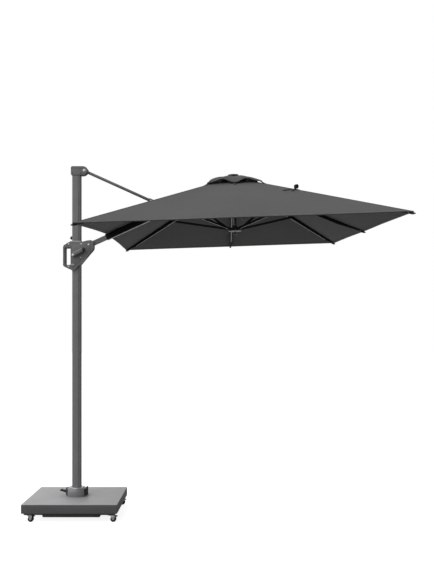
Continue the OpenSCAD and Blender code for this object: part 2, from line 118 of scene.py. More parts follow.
class Recipe:
    """A small writer of shader nodes for one material."""

    def __init__(self, name: str) -> None:
        """Start an empty node material.

        Args:
            name: the material's name.
        """
        self.material = bpy.data.materials.new(name)
        self.material.use_nodes = True
        self.tree = self.material.node_tree
        self.tree.nodes.clear()
        self.output = self.tree.nodes.new("ShaderNodeOutputMaterial")
        self.shader = self.tree.nodes.new("ShaderNodeBsdfPrincipled")
        self.join(self.shader.outputs["BSDF"], self.output.inputs["Surface"])
        self.coordinates = self.tree.nodes.new("ShaderNodeTexCoord").outputs["Object"]

    def join(self, source: bpy.types.NodeSocket, target: bpy.types.NodeSocket) -> None:
        """Link one socket to another."""
        self.tree.links.new(source, target)

    def put(self, socket: str, value: float | Sequence[float]) -> None:
        """Set one of the shader's own sockets."""
        self.shader.inputs[socket].default_value = value

    def uv(self) -> bpy.types.NodeSocket:
        """The piece's own surface coordinates."""
        return self.tree.nodes.new("ShaderNodeTexCoord").outputs["UV"]

    def mapped(self, scale: Point, turn: Point = (0.0, 0.0, 0.0),
               source: bpy.types.NodeSocket | None = None) -> bpy.types.NodeSocket:
        """Coordinates after a scale and a turn.

        Args:
            scale: the scale along each axis.
            turn: the turn about each axis, in degrees.
            source: the coordinates to start from, or the object's own.

        Returns:
            The socket that carries the new coordinates.
        """
        node = self.tree.nodes.new("ShaderNodeMapping")
        node.inputs["Scale"].default_value = scale
        node.inputs["Rotation"].default_value = [math.radians(a) for a in turn]
        self.join(source or self.coordinates, node.inputs["Vector"])
        return node.outputs["Vector"]

    def noise(self, scale: float, detail: float = 3.0, roughness: float = 0.5,
              source: bpy.types.NodeSocket | None = None) -> bpy.types.NodeSocket:
        """A soft random pattern.

        Args:
            scale: how many spots fit in a metre.
            detail: how many finer layers it has.
            roughness: how strong the finer layers are.
            source: the coordinates, or the object's own.

        Returns:
            The pattern's value socket.
        """
        node = self.tree.nodes.new("ShaderNodeTexNoise")
        node.inputs["Scale"].default_value = scale
        node.inputs["Detail"].default_value = detail
        node.inputs["Roughness"].default_value = roughness
        self.join(source or self.coordinates, node.inputs["Vector"])
        return node.outputs["Fac"]

    def spots(self, scale: float, source: bpy.types.NodeSocket | None = None) -> bpy.types.NodeSocket:
        """A cell pattern's distance socket.

        Args:
            scale: how many cells fit in a metre.
            source: the coordinates, or the object's own.

        Returns:
            The distance socket.
        """
        node = self.tree.nodes.new("ShaderNodeTexVoronoi")
        node.inputs["Scale"].default_value = scale
        self.join(source or self.coordinates, node.inputs["Vector"])
        return node.outputs["Distance"]

    def stripes(self, per_metre: float, along: str, source: bpy.types.NodeSocket | None = None,
                wobble: float = 0.0) -> bpy.types.NodeSocket:
        """Even stripes across one axis.

        Args:
            per_metre: how many stripes fit in a metre.
            along: the axis that the stripes cross, as X, Y or Z.
            source: the coordinates, or the object's own.
            wobble: how much the stripes waver.

        Returns:
            The stripes' value socket.
        """
        node = self.tree.nodes.new("ShaderNodeTexWave")
        node.wave_type = "BANDS"
        node.bands_direction = along
        node.wave_profile = "SIN"
        node.inputs["Scale"].default_value = per_metre * math.pi / 10.0
        node.inputs["Distortion"].default_value = wobble
        node.inputs["Detail"].default_value = 0.0
        self.join(source or self.coordinates, node.inputs["Vector"])
        return node.outputs["Fac"]

    def ramp(self, source: bpy.types.NodeSocket, stops: Iterable[tuple[float, Colour]]) -> bpy.types.NodeSocket:
        """A colour for each value.

        Args:
            source: the value.
            stops: the values from 0 to 1 with their colours.

        Returns:
            The colour socket.
        """
        node = self.tree.nodes.new("ShaderNodeValToRGB")
        ladder = node.color_ramp.elements
        wanted = list(stops)
        while len(ladder) < len(wanted):
            ladder.new(0.5)
        for step, (place, colour) in zip(ladder, wanted):
            step.position = place
            step.color = (*colour, 1.0)
        self.join(source, node.inputs["Fac"])
        return node.outputs["Color"]

    def scalar(self, source: bpy.types.NodeSocket, low: float, high: float,
               start: float = 0.0, end: float = 1.0) -> bpy.types.NodeSocket:
        """A value brought into another range.

        Args:
            source: the value.
            low: what start becomes.
            high: what end becomes.
            start: the lowest value read.
            end: the highest value read.

        Returns:
            The new value's socket.
        """
        node = self.tree.nodes.new("ShaderNodeMapRange")
        node.inputs["From Min"].default_value = start
        node.inputs["From Max"].default_value = end
        node.inputs["To Min"].default_value = low
        node.inputs["To Max"].default_value = high
        self.join(source, node.inputs["Value"])
        return node.outputs["Result"]

    def sum(self, first: bpy.types.NodeSocket, second: bpy.types.NodeSocket,
            how: str = "ADD") -> bpy.types.NodeSocket:
        """Two values put together.

        Args:
            first: the first value.
            second: the second value.
            how: the name of the operation.

        Returns:
            The result's socket.
        """
        node = self.tree.nodes.new("ShaderNodeMath")
        node.operation = how
        self.join(first, node.inputs[0])
        self.join(second, node.inputs[1])
        return node.outputs[0]

    def blend(self, factor: bpy.types.NodeSocket | float, first: bpy.types.NodeSocket | Colour,
              second: bpy.types.NodeSocket | Colour, how: str = "MIX") -> bpy.types.NodeSocket:
        """Two colours mixed by a value.

        Args:
            factor: how much of the second colour shows, as a socket or a fixed share.
            first: the first colour or its socket.
            second: the second colour or its socket.
            how: the way of mixing.

        Returns:
            The mixed colour's socket.
        """
        node = self.tree.nodes.new("ShaderNodeMix")
        node.data_type = "RGBA"
        node.blend_type = how
        if isinstance(factor, float):
            node.inputs["Factor"].default_value = factor
        else:
            self.join(factor, node.inputs["Factor"])
        for index, value in ((6, first), (7, second)):
            if isinstance(value, tuple):
                node.inputs[index].default_value = (*value, 1.0)
            else:
                self.join(value, node.inputs[index])
        return node.outputs[2]

    def bump(self, height: bpy.types.NodeSocket, depth: float, strength: float = 1.0,
             under: bpy.types.NodeSocket | None = None) -> bpy.types.NodeSocket:
        """Fine relief on the surface.

        Args:
            height: the relief's height from 0 to 1.
            depth: the relief's depth in metres.
            strength: how much of it shows.
            under: relief that this one lies on.

        Returns:
            The normal socket.
        """
        node = self.tree.nodes.new("ShaderNodeBump")
        node.inputs["Strength"].default_value = strength
        node.inputs["Distance"].default_value = depth
        self.join(height, node.inputs["Height"])
        if under is not None:
            self.join(under, node.inputs["Normal"])
        self.join(node.outputs["Normal"], self.shader.inputs["Normal"])
        return node.outputs["Normal"]


def tint(colour: Colour, factor: float) -> Colour:
    """A colour made lighter or darker."""
    return (colour[0] * factor, colour[1] * factor, colour[2] * factor)


@dataclass(frozen=True)
class PowderCoat:
    """Baked powder paint on metal, with a fine orange peel and slightly worn edges."""

    name: str
    colour: Colour
    roughness: float = 0.42
    sheen: float = 0.5
    wear: float = 0.25

    def make(self) -> bpy.types.Material:
        """Build the material."""
        mix = Recipe(self.name)
        cloud = mix.noise(9.0, 4.0)
        grain = mix.noise(900.0, 2.0)
        base = mix.ramp(cloud, [(0.3, tint(self.colour, 0.9)), (0.7, tint(self.colour, 1.1))])
        speck = mix.ramp(grain, [(0.35, (0.86, 0.86, 0.86)), (0.65, (1.12, 1.12, 1.12))])
        dusty = mix.blend(mix.scalar(cloud, 0.7, 1.0), base, speck, "MULTIPLY")
        edge = mix.tree.nodes.new("ShaderNodeNewGeometry").outputs["Pointiness"]
        rub = mix.scalar(edge, 0.0, self.wear, 0.53, 0.62)
        mix.join(mix.blend(rub, dusty, tint(self.colour, 2.2)), mix.shader.inputs["Base Color"])
        mix.join(mix.scalar(grain, self.roughness - 0.07, self.roughness + 0.08), mix.shader.inputs["Roughness"])
        mix.put("Metallic", 0.0)
        mix.put("Specular IOR Level", self.sheen)
        mix.put("Coat Weight", 0.24 * self.sheen)
        mix.put("Coat Roughness", 0.3)
        mix.bump(mix.noise(650.0, 2.0), 0.00006, 0.5)
        return mix.material


@dataclass(frozen=True)
class Plastic:
    """Moulded plastic with a fine spark-eroded grain."""

    name: str
    colour: Colour
    roughness: float = 0.5
    grain: float = 1600.0

    def make(self) -> bpy.types.Material:
        """Build the material."""
        mix = Recipe(self.name)
        cloud = mix.noise(14.0, 3.0)
        fine = mix.noise(self.grain, 2.0, 0.6)
        mix.join(mix.ramp(cloud, [(0.3, tint(self.colour, 0.88)), (0.75, tint(self.colour, 1.12))]),
                 mix.shader.inputs["Base Color"])
        mix.join(mix.scalar(fine, self.roughness - 0.08, self.roughness + 0.1), mix.shader.inputs["Roughness"])
        mix.put("Specular IOR Level", 0.45)
        mix.bump(fine, 0.00008, 0.5)
        return mix.material


@dataclass(frozen=True)
class Metal:
    """Plated or bare metal with fine drawing lines and small stains."""

    name: str
    colour: Colour
    roughness: float = 0.28
    lines: float = 900.0

    def make(self) -> bpy.types.Material:
        """Build the material."""
        mix = Recipe(self.name)
        stain = mix.noise(40.0, 4.0)
        drawn = mix.noise(self.lines, 1.0, 0.5, mix.mapped((1.0, 1.0, 0.06)))
        mix.join(mix.ramp(stain, [(0.3, tint(self.colour, 0.82)), (0.7, self.colour)]),
                 mix.shader.inputs["Base Color"])
        mix.put("Metallic", 1.0)
        mix.join(mix.scalar(mix.sum(stain, drawn, "MULTIPLY"), self.roughness - 0.06, self.roughness + 0.2),
                 mix.shader.inputs["Roughness"])
        mix.bump(drawn, 0.00003, 0.4)
        return mix.material


@dataclass(frozen=True)
class Stone:
    """Dense fine-grained stone, polished on top, with its sides painted darker than the top as painted shade."""

    name: str
    colour: Colour
    # The sides' colour, darker than the top: painted shade.
    edge: Colour

    def make(self) -> bpy.types.Material:
        """Build the material."""
        mix = Recipe(self.name)
        salt = mix.spots(420.0)
        grain = mix.noise(300.0, 5.0, 0.7)
        cloud = mix.noise(3.5, 4.0)
        top = mix.ramp(grain, [(0.28, tint(self.colour, 0.72)), (0.5, self.colour),
                               (0.74, tint(self.colour, 1.2))])
        side = mix.ramp(grain, [(0.3, tint(self.edge, 0.75)), (0.7, tint(self.edge, 1.3))])
        # Faces that point up take the top colour and the sides the darker one: painted shade from the overhead
        # light.
        facing = mix.tree.nodes.new("ShaderNodeSeparateXYZ")
        mix.join(mix.tree.nodes.new("ShaderNodeNewGeometry").outputs["True Normal"], facing.inputs[0])
        level = mix.scalar(facing.outputs["Z"], 0.0, 1.0, 0.3, 0.8)
        both = mix.blend(level, side, top)
        soft = mix.blend(mix.scalar(cloud, 0.0, 0.35), both, tint(self.colour, 0.8), "MULTIPLY")
        flecks = mix.blend(mix.scalar(salt, 0.22, 0.0, 0.0, 0.3), soft, tint(self.colour, 1.6))
        mix.join(flecks, mix.shader.inputs["Base Color"])
        mix.join(mix.scalar(grain, 0.38, 0.62), mix.shader.inputs["Roughness"])
        mix.put("Specular IOR Level", 0.4)
        mix.bump(grain, 0.00025, 0.35)
        return mix.material


@dataclass(frozen=True)
class Cloth:
    """Woven cloth with warp and weft threads, fine slubs and a light sheen."""

    name: str
    colour: Colour
    weave: Weave
    through: float = 0.0
    along_uv: bool = False

    def make(self) -> bpy.types.Material:
        """Build the material."""
        mix = Recipe(self.name)
        count, height = self.weave.value
        source = mix.uv() if self.along_uv else mix.coordinates
        warp = mix.stripes(count, "X", source, 0.4)
        weft = mix.stripes(count, "Y", source, 0.4)
        thread = mix.sum(warp, weft, "MAXIMUM")
        slub = mix.noise(60.0, 4.0, 0.6, mix.mapped((1.0, 0.12, 1.0), source=source))
        cloud = mix.noise(2.2, 5.0, 0.55)
        base = mix.ramp(cloud, [(0.25, tint(self.colour, 0.93)), (0.75, tint(self.colour, 1.07))])
        slubs = mix.ramp(slub, [(0.3, (0.93, 0.93, 0.93)), (0.7, (1.06, 1.06, 1.06))])
        woven = mix.ramp(thread, [(0.2, (0.8, 0.8, 0.8)), (0.9, (1.05, 1.05, 1.05))])
        cloth = mix.blend(1.0, mix.blend(1.0, base, slubs, "MULTIPLY"), woven, "MULTIPLY")
        mix.join(cloth, mix.shader.inputs["Base Color"])
        mix.put("Roughness", 0.88)
        mix.put("Specular IOR Level", 0.2)
        mix.put("Sheen Weight", 0.12)
        mix.put("Sheen Roughness", 0.5)
        wrinkle = mix.bump(mix.noise(7.0, 4.0, 0.55), 0.004, 0.25)
        mix.bump(mix.sum(thread, slub), height, 0.7, wrinkle)
        return mix.material


@dataclass(frozen=True)
class Rubber:
    """Hard tyre rubber, dusty where it rolls."""

    name: str
    colour: Colour

    def make(self) -> bpy.types.Material:
        """Build the material."""
        mix = Recipe(self.name)
        dust = mix.noise(120.0, 5.0, 0.65)
        mix.join(mix.ramp(dust, [(0.35, self.colour), (0.8, tint(self.colour, 2.4))]),
                 mix.shader.inputs["Base Color"])
        mix.join(mix.scalar(dust, 0.55, 0.85), mix.shader.inputs["Roughness"])
        mix.put("Specular IOR Level", 0.35)
        mix.bump(dust, 0.0002, 0.4)
        return mix.material


@dataclass
class Finishes:
    """Every finish on the parasol, made once."""

    stone: bpy.types.Material = field(init=False)
    tray: bpy.types.Material = field(init=False)
    black_metal: bpy.types.Material = field(init=False)
    zinc: bpy.types.Material = field(init=False)
    bolt: bpy.types.Material = field(init=False)
    collar: bpy.types.Material = field(init=False)
    plastic: bpy.types.Material = field(init=False)
    rubber: bpy.types.Material = field(init=False)
    mast: bpy.types.Material = field(init=False)
    rail: bpy.types.Material = field(init=False)
    housing: bpy.types.Material = field(init=False)
    trim: bpy.types.Material = field(init=False)
    arm: bpy.types.Material = field(init=False)
    rib: bpy.types.Material = field(init=False)
    rib_painted_highlight: bpy.types.Material = field(init=False)
    fabric: bpy.types.Material = field(init=False)
    hem: bpy.types.Material = field(init=False)
    shade_painted_cloth: bpy.types.Material = field(init=False)
    webbing: bpy.types.Material = field(init=False)
    tape: bpy.types.Material = field(init=False)

    def __post_init__(self) -> None:
        """Make the materials."""
        # The second colour is the slab's sides, much darker than the top as painted shade.
        self.stone = Stone("slab stone", (0.41, 0.41, 0.415), (0.085, 0.085, 0.088)).make()
        self.tray = PowderCoat("tray powder coat", (0.095, 0.095, 0.098), 0.5).make()
        self.black_metal = PowderCoat("black powder coat", (0.012, 0.012, 0.013), 0.4).make()
        self.zinc = Metal("bright zinc", (0.62, 0.62, 0.64), 0.3).make()
        self.bolt = Metal("bolt plating", (0.75, 0.75, 0.77), 0.2, 1400.0).make()
        self.collar = PowderCoat("collar powder coat", (0.2, 0.2, 0.206), 0.34).make()
        self.plastic = Plastic("black moulding", (0.012, 0.012, 0.012), 0.45).make()
        self.rubber = Rubber("caster rubber", (0.012, 0.012, 0.012)).make()
        self.mast = PowderCoat("mast powder coat", (0.13, 0.13, 0.134), 0.36).make()
        self.rail = Plastic("rail moulding", (0.1, 0.1, 0.103), 0.4).make()
        self.housing = Plastic("housing moulding", (0.14, 0.14, 0.144), 0.42).make()
        self.trim = Plastic("light trim", (0.4, 0.4, 0.41), 0.4).make()
        self.arm = PowderCoat("arm powder coat", (0.12, 0.12, 0.123), 0.36).make()
        self.rib = PowderCoat("rib powder coat", (0.005, 0.005, 0.0054), 0.55, 0.12).make()
        # Light grey for the lower faces of ribs, stretchers and arm sleeve: a painted highlight standing for
        # floor light on them.
        self.rib_painted_highlight = PowderCoat("rib lower line", (0.45, 0.45, 0.46), 0.4).make()
        self.fabric = Cloth("canopy cloth", (0.061, 0.061, 0.0613), Weave.CANOPY).make()
        self.hem = Cloth("canopy hem cloth", (0.056, 0.056, 0.0563), Weave.CANOPY).make()
        # The canopy's underside is a darker copy of the same cloth: painted shade under the canopy.
        self.shade_painted_cloth = Cloth("canopy lining", (0.054, 0.054, 0.052), Weave.CANOPY).make()
        self.webbing = Cloth("black webbing", (0.012, 0.012, 0.012), Weave.WEBBING).make()
        self.tape = Cloth("grey webbing", (0.2, 0.2, 0.205), Weave.WEBBING).make()


# ---------------------------------------------------------------------------------------------------------
# Making meshes
# ---------------------------------------------------------------------------------------------------------


def turned(axis: Axis | Vector) -> Matrix:
    """The turn that takes +Z to another direction."""
    direction = axis.vector if isinstance(axis, Axis) else axis.normalized()
    return Vector((0, 0, 1)).rotation_difference(direction).to_matrix().to_4x4()


class Maker:
    """Collects solids made with bmesh operators and turns them into one piece."""

    def __init__(self) -> None:
        """Start with no solids."""
        self.bm = bmesh.new()

    def _since(self, before: set[bmesh.types.BMVert]) -> list[bmesh.types.BMVert]:
        """The vertices added after a moment."""
        return [v for v in self.bm.verts if v not in before]

    def _settle(self, before: set[bmesh.types.BMVert], bevel: float, segments: int, paint: int,
                place: Matrix | None, sharp: float = 0.5) -> list[bmesh.types.BMVert]:
        """Bevel, paint and place the newest solid.

        Args:
            before: the vertices that were there earlier.
            bevel: the width of the rounded edges.
            segments: how many strips round an edge.
            paint: the material's number on the piece.
            place: where the solid goes.
            sharp: the least angle of an edge that is rounded, in radians.

        Returns:
            The solid's vertices.
        """
        new = self._since(before)
        edges = {e for v in new for e in v.link_edges}
        if bevel > 0:
            hard = [e for e in edges if len(e.link_faces) == 2 and e.calc_face_angle(0.0) > sharp]
            bmesh.ops.bevel(self.bm, geom=hard, offset=bevel, segments=segments, profile=0.5,
                            affect="EDGES", material=-1, clamp_overlap=True)
            new = self._since(before)
        for face in {f for v in new for f in v.link_faces}:
            face.material_index = paint
            face.smooth = True
        if place is not None:
            bmesh.ops.transform(self.bm, matrix=place, verts=new)
        return new

    def block(self, size: Point, at: Sequence[float], turn: Matrix | None = None, bevel: float = 0.001,
              segments: int = 2, paint: int = 0) -> list[bmesh.types.BMVert]:
        """A block with rounded edges.

        Args:
            size: the block's length along each axis.
            at: its centre.
            turn: its turn about its centre.
            bevel: the width of the rounded edges.
            segments: how many strips round an edge.
            paint: the material's number on the piece.

        Returns:
            The block's vertices.
        """
        before = set(self.bm.verts)
        bmesh.ops.create_cube(self.bm, size=1.0, matrix=Matrix.Diagonal((*size, 1.0)))
        return self._settle(before, bevel, segments, paint, Matrix.Translation(at) @ (turn or Matrix()))

    def rod(self, start: Sequence[float], end: Sequence[float], radius: float, tip: float | None = None,
            sides: int = 32, bevel: float = 0.0005, segments: int = 2,
            paint: int = 0) -> list[bmesh.types.BMVert]:
        """A round rod or cone from one point to another.

        Args:
            start: the middle of its first end.
            end: the middle of its other end.
            radius: its radius at the first end.
            tip: its radius at the other end, if that differs.
            sides: how many sides it has.
            bevel: the width of the rounded rims.
            segments: how many strips round a rim.
            paint: the material's number on the piece.

        Returns:
            The rod's vertices.
        """
        first, last = Vector(start), Vector(end)
        before = set(self.bm.verts)
        bmesh.ops.create_cone(self.bm, cap_ends=True, cap_tris=False, segments=sides, radius1=radius,
                              radius2=radius if tip is None else tip, depth=(last - first).length)
        place = Matrix.Translation((first + last) / 2) @ turned(last - first)
        return self._settle(before, bevel, segments, paint, place, 0.6)

    def plate(self, outline: Sequence[tuple[float, float]], low: float, high: float, bevel: float = 0.001,
              segments: int = 2, paint: int = 0, place: Matrix | None = None,
              sharp: float = 0.5) -> list[bmesh.types.BMVert]:
        """A flat outline in X and Z, made thick along Y.

        Args:
            outline: the corners as X and Z.
            low: the first face's Y.
            high: the other face's Y.
            bevel: the width of the rounded edges.
            segments: how many strips round an edge.
            paint: the material's number on the piece.
            place: where the plate goes.
            sharp: the least angle of an edge that is rounded, in radians.

        Returns:
            The plate's vertices.
        """
        before = set(self.bm.verts)
        corners = [self.bm.verts.new((x, low, z)) for x, z in outline]
        face = self.bm.faces.new(corners)
        grown = bmesh.ops.extrude_face_region(self.bm, geom=[face])
        moved = [g for g in grown["geom"] if isinstance(g, bmesh.types.BMVert)]
        bmesh.ops.translate(self.bm, verts=moved, vec=(0, high - low, 0))
        faces = list({f for v in self._since(before) for f in v.link_faces})
        bmesh.ops.recalc_face_normals(self.bm, faces=faces)
        return self._settle(before, bevel, segments, paint, place, sharp)

    def lathe(self, profile: Sequence[tuple[float, float]], at: Sequence[float], axis: Axis | Vector = Axis.Z,
              steps: int = 64, paint: int = 0) -> list[bmesh.types.BMVert]:
        """A profile spun round an axis.

        Args:
            profile: pairs of radius and height, from one end to the other.
            at: the point of the axis at height zero.
            axis: the direction of the axis.
            steps: how many steps the turn has.
            paint: the material's number on the piece.

        Returns:
            The new vertices.
        """
        before = set(self.bm.verts)
        chain = [self.bm.verts.new((radius, 0.0, height)) for radius, height in profile]
        edges = [self.bm.edges.new(pair) for pair in zip(chain, chain[1:])]
        bmesh.ops.spin(self.bm, geom=chain + edges, cent=(0, 0, 0), axis=(0, 0, 1), dvec=(0, 0, 0),
                       angle=math.tau, steps=steps, use_merge=True, use_duplicate=False)
        new = self._since(before)
        bmesh.ops.remove_doubles(self.bm, verts=new, dist=1e-6)
        new = self._since(before)
        bmesh.ops.recalc_face_normals(self.bm, faces=list({f for v in new for f in v.link_faces}))
        return self._settle(before, 0.0, 1, paint, Matrix.Translation(at) @ turned(axis))

    def ring(self, radius: float, thick: float, at: Sequence[float], axis: Axis | Vector = Axis.Z,
             steps: int = 48, paint: int = 0) -> list[bmesh.types.BMVert]:
        """A round ring of round wire.

        Args:
            radius: the radius of the wire's middle line.
            thick: the wire's radius.
            at: the ring's centre.
            axis: the direction that the ring faces.
            steps: how many steps the turn has.
            paint: the material's number on the piece.

        Returns:
            The new vertices.
        """
        round_off = [(radius + thick * math.cos(a), thick * math.sin(a))
                     for a in (math.tau * i / 16 for i in range(17))]
        return self.lathe(round_off, at, axis, steps, paint)

    def bolt(self, at: Sequence[float], out: Vector, radius: float, height: float, paint: int = 0) -> None:
        """A round-headed bolt with a hexagon socket, on a thin washer.

        Args:
            at: the middle of the head's foot.
            out: the direction that the head points.
            radius: the head's radius.
            height: the head's height.
            paint: the material's number on the piece.
        """
        self.lathe([(0.0, 0.0), (radius * 1.3, 0.0), (radius * 1.3, height * 0.14), (radius, height * 0.16),
                    (radius, height * 0.62), (radius * 0.86, height * 0.9), (radius * 0.56, height),
                    (radius * 0.5, height), (radius * 0.46, height * 0.45), (0.0, height * 0.45)],
                   at, out, 36, paint)

    def copy_of(self, node: str) -> list[bmesh.types.BMVert]:
        """A merged copy of a CAD node's mesh.

        Args:
            node: the node's name.

        Returns:
            The copy's vertices.
        """
        before = set(self.bm.verts)
        self.bm.from_mesh(bpy.data.objects[node].data)
        bmesh.ops.remove_doubles(self.bm, verts=self._since(before), dist=1e-5)
        flat = {e for v in self._since(before) for e in v.link_edges}
        bmesh.ops.dissolve_limit(self.bm, angle_limit=0.02, verts=self._since(before), edges=list(flat))
        return self._since(before)

    def ease(self, width: float, segments: int, sharp: float) -> None:
        """Round every hard edge made so far.

        Args:
            width: the width of the rounded edges.
            segments: how many strips round an edge.
            sharp: the least angle of an edge that is rounded, in degrees.
        """
        if width <= 0:
            return
        hard = [e for e in self.bm.edges
                if len(e.link_faces) == 2 and e.calc_face_angle(0.0) > math.radians(sharp)]
        bmesh.ops.bevel(self.bm, geom=hard, offset=width, segments=segments, profile=0.5, affect="EDGES",
                        material=-1, clamp_overlap=True)

    def sheet(self, along: int, across: int, place: Callable[[float, float], Vector], under: Vector,
              top_paint: int, under_paint: int,
              hole: tuple[Matrix, tuple[float, float, float, float]] | None = None) -> float:
        """A sheet of cloth with a thickness.

        Args:
            along: how many steps it has in its first direction.
            across: how many steps it has in its second direction.
            place: gives the point for two shares from 0 to 1.
            under: the way from its top to its underside.
            top_paint: the material's number on its top.
            under_paint: the material's number on its underside.
            hole: a frame and the low X, high X, low Y and high Y of an opening.

        Returns:
            The area of its top, in square metres.
        """
        before = set(self.bm.verts)
        bmesh.ops.create_grid(self.bm, x_segments=along, y_segments=across, size=1.0)
        for vert in self._since(before):
            vert.co = place((vert.co.x + 1) / 2, (vert.co.y + 1) / 2)
        if hole is not None:
            self._open(before, *hole)
        faces = list({f for v in self._since(before) for f in v.link_faces})
        area = sum(face.calc_area() for face in faces)
        grown = bmesh.ops.extrude_face_region(self.bm, geom=faces, use_keep_orig=True)
        moved = [g for g in grown["geom"] if isinstance(g, bmesh.types.BMVert)]
        bmesh.ops.translate(self.bm, verts=moved, vec=under)
        faces = list({f for v in self._since(before) for f in v.link_faces})
        bmesh.ops.recalc_face_normals(self.bm, faces=faces)
        for face in faces:
            face.smooth = True
            face.material_index = under_paint if face.normal.dot(under) > 0 else top_paint
        return area

    def _open(self, before: set[bmesh.types.BMVert], frame: Matrix,
              limits: tuple[float, float, float, float]) -> None:
        """Cut a four-sided opening in the newest sheet.

        Args:
            before: the vertices that were there earlier.
            frame: the frame of the limits.
            limits: the low X, high X, low Y and high Y of the opening.
        """
        turn = frame.to_3x3()
        for value, direction in zip(limits, (Axis.X, Axis.X, Axis.Y, Axis.Y)):
            new = self._since(before)
            edges = list({e for v in new for e in v.link_edges})
            geom = new + edges + list({f for v in new for f in v.link_faces})
            bmesh.ops.bisect_plane(self.bm, geom=geom, dist=1e-6, plane_co=frame @ (direction.vector * value),
                                   plane_no=turn @ direction.vector)
        back = frame.inverted()
        inside = []
        for face in {f for v in self._since(before) for f in v.link_faces}:
            middle = back @ face.calc_center_median()
            if limits[0] < middle.x < limits[1] and limits[2] < middle.y < limits[3]:
                inside.append(face)
        bmesh.ops.delete(self.bm, geom=inside, context="FACES")

    def piece(self, name: str, body: str, paints: Sequence[bpy.types.Material],
              stands_for: Sequence[str] = (), slot: str | None = None, angle: float = 35.0,
              bend: tuple[str, str, Vector, Vector] | None = None) -> bpy.types.Object:
        """Turn the solids into an object that rides on a CAD body, or on no body when bend is given.

        Args:
            name: the object's name.
            body: the CAD body that it moves with.
            paints: the materials, by number.
            stands_for: the CAD nodes that it replaces.
            slot: not used.
            angle: edges sharper than this stay crisp, in degrees.
            bend: two bodies and two points; when given, the piece's placement is baked in and it rides on no
                body, and nothing bends it.

        Returns:
            The finished object.
        """
        mesh = bpy.data.meshes.new(name)
        for edge in self.bm.edges:
            edge.smooth = not (len(edge.link_faces) == 2 and edge.calc_face_angle(0.0) > math.radians(angle))
        self.bm.to_mesh(mesh)
        self.bm.free()
        for face in mesh.polygons:
            face.use_smooth = True
        for paint in paints:
            mesh.materials.append(paint)
        thing = bpy.data.objects.new(name, mesh)
        bpy.context.scene.collection.objects.link(thing)
        if bend is None:
            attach(thing, body)
        else:
            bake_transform(thing)
        if stands_for:
            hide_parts(*stands_for)
        LOG.info("made %s on %s with %d faces", name, body, len(mesh.polygons))
        return thing


def low_high(node: str) -> tuple[Vector, Vector]:
    """A CAD node's lowest and highest corner."""
    low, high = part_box(node)
    return Vector(low), Vector(high)


# ---------------------------------------------------------------------------------------------------------
# Where things are
# ---------------------------------------------------------------------------------------------------------


@dataclass
class Places:
    """The parasol's main points and directions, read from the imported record."""

    frame: dict

    def joint(self, name: str) -> dict:
        """A joint of the record by its name."""
        return next(j for j in self.frame["record"]["behaviour"]["joints"] if j["name"] == name)

    def spot(self, name: str) -> Vector:
        """The point that a hinge turns about."""
        return Vector(self.joint(name)["pos_m"])

    @property
    def mast(self) -> Vector:
        """The foot of the mast's axis, on the floor."""
        return Vector((*self.spot("mast_turn").xy, 0.0))

    @property
    def crown(self) -> Matrix:
        """The canopy's own leaning frame, at the meeting point of the ribs."""
        side = Vector(self.joint("rib_near_fold")["axis"]).normalized()
        deep = Vector(self.joint("rib_out_fold")["axis"]).normalized()
        up = side.cross(deep).normalized()
        middle = (self.spot("rib_near_fold") + self.spot("rib_far_fold")) / 2
        turn = Matrix((side, deep, up)).transposed().to_4x4()
        return Matrix.Translation(middle + up * 0.0218) @ turn

    def along(self, start: Vector, end: Vector) -> Matrix:
        """A frame at start, with X towards end and Y level.

        Args:
            start: the frame's origin.
            end: the point that X looks at.

        Returns:
            The frame's matrix.
        """
        x = (end - start).normalized()
        y = Vector((0, 0, 1)).cross(x).normalized()
        return Matrix.Translation(start) @ Matrix((x, y, x.cross(y))).transposed().to_4x4()


def refined(node: str, body: str, paints: Sequence[bpy.types.Material], name: str, bevel: float = 0.0015,
            segments: int = 2, slot: str | None = None, extra: Callable[[Maker], None] | None = None,
            sharp: float = 30.0) -> bpy.types.Object:
    """A detailed piece that stands for a CAD node, grown from a merged copy of it.

    Args:
        node: the CAD node.
        body: the body that the piece rides on.
        paints: its materials, by number.
        name: the piece's name.
        bevel: the width of its rounded edges.
        segments: how many strips round an edge.
        slot: not used.
        extra: adds further solids before the piece is closed.
        sharp: the least angle of an edge that is rounded, in degrees.

    Returns:
        The finished piece.
    """
    make = Maker()
    make.copy_of(node)
    make.ease(bevel, segments, sharp)
    if extra is not None:
        extra(make)
    return make.piece(name, body, paints, (node,), slot)


# ---------------------------------------------------------------------------------------------------------
# Base
# ---------------------------------------------------------------------------------------------------------


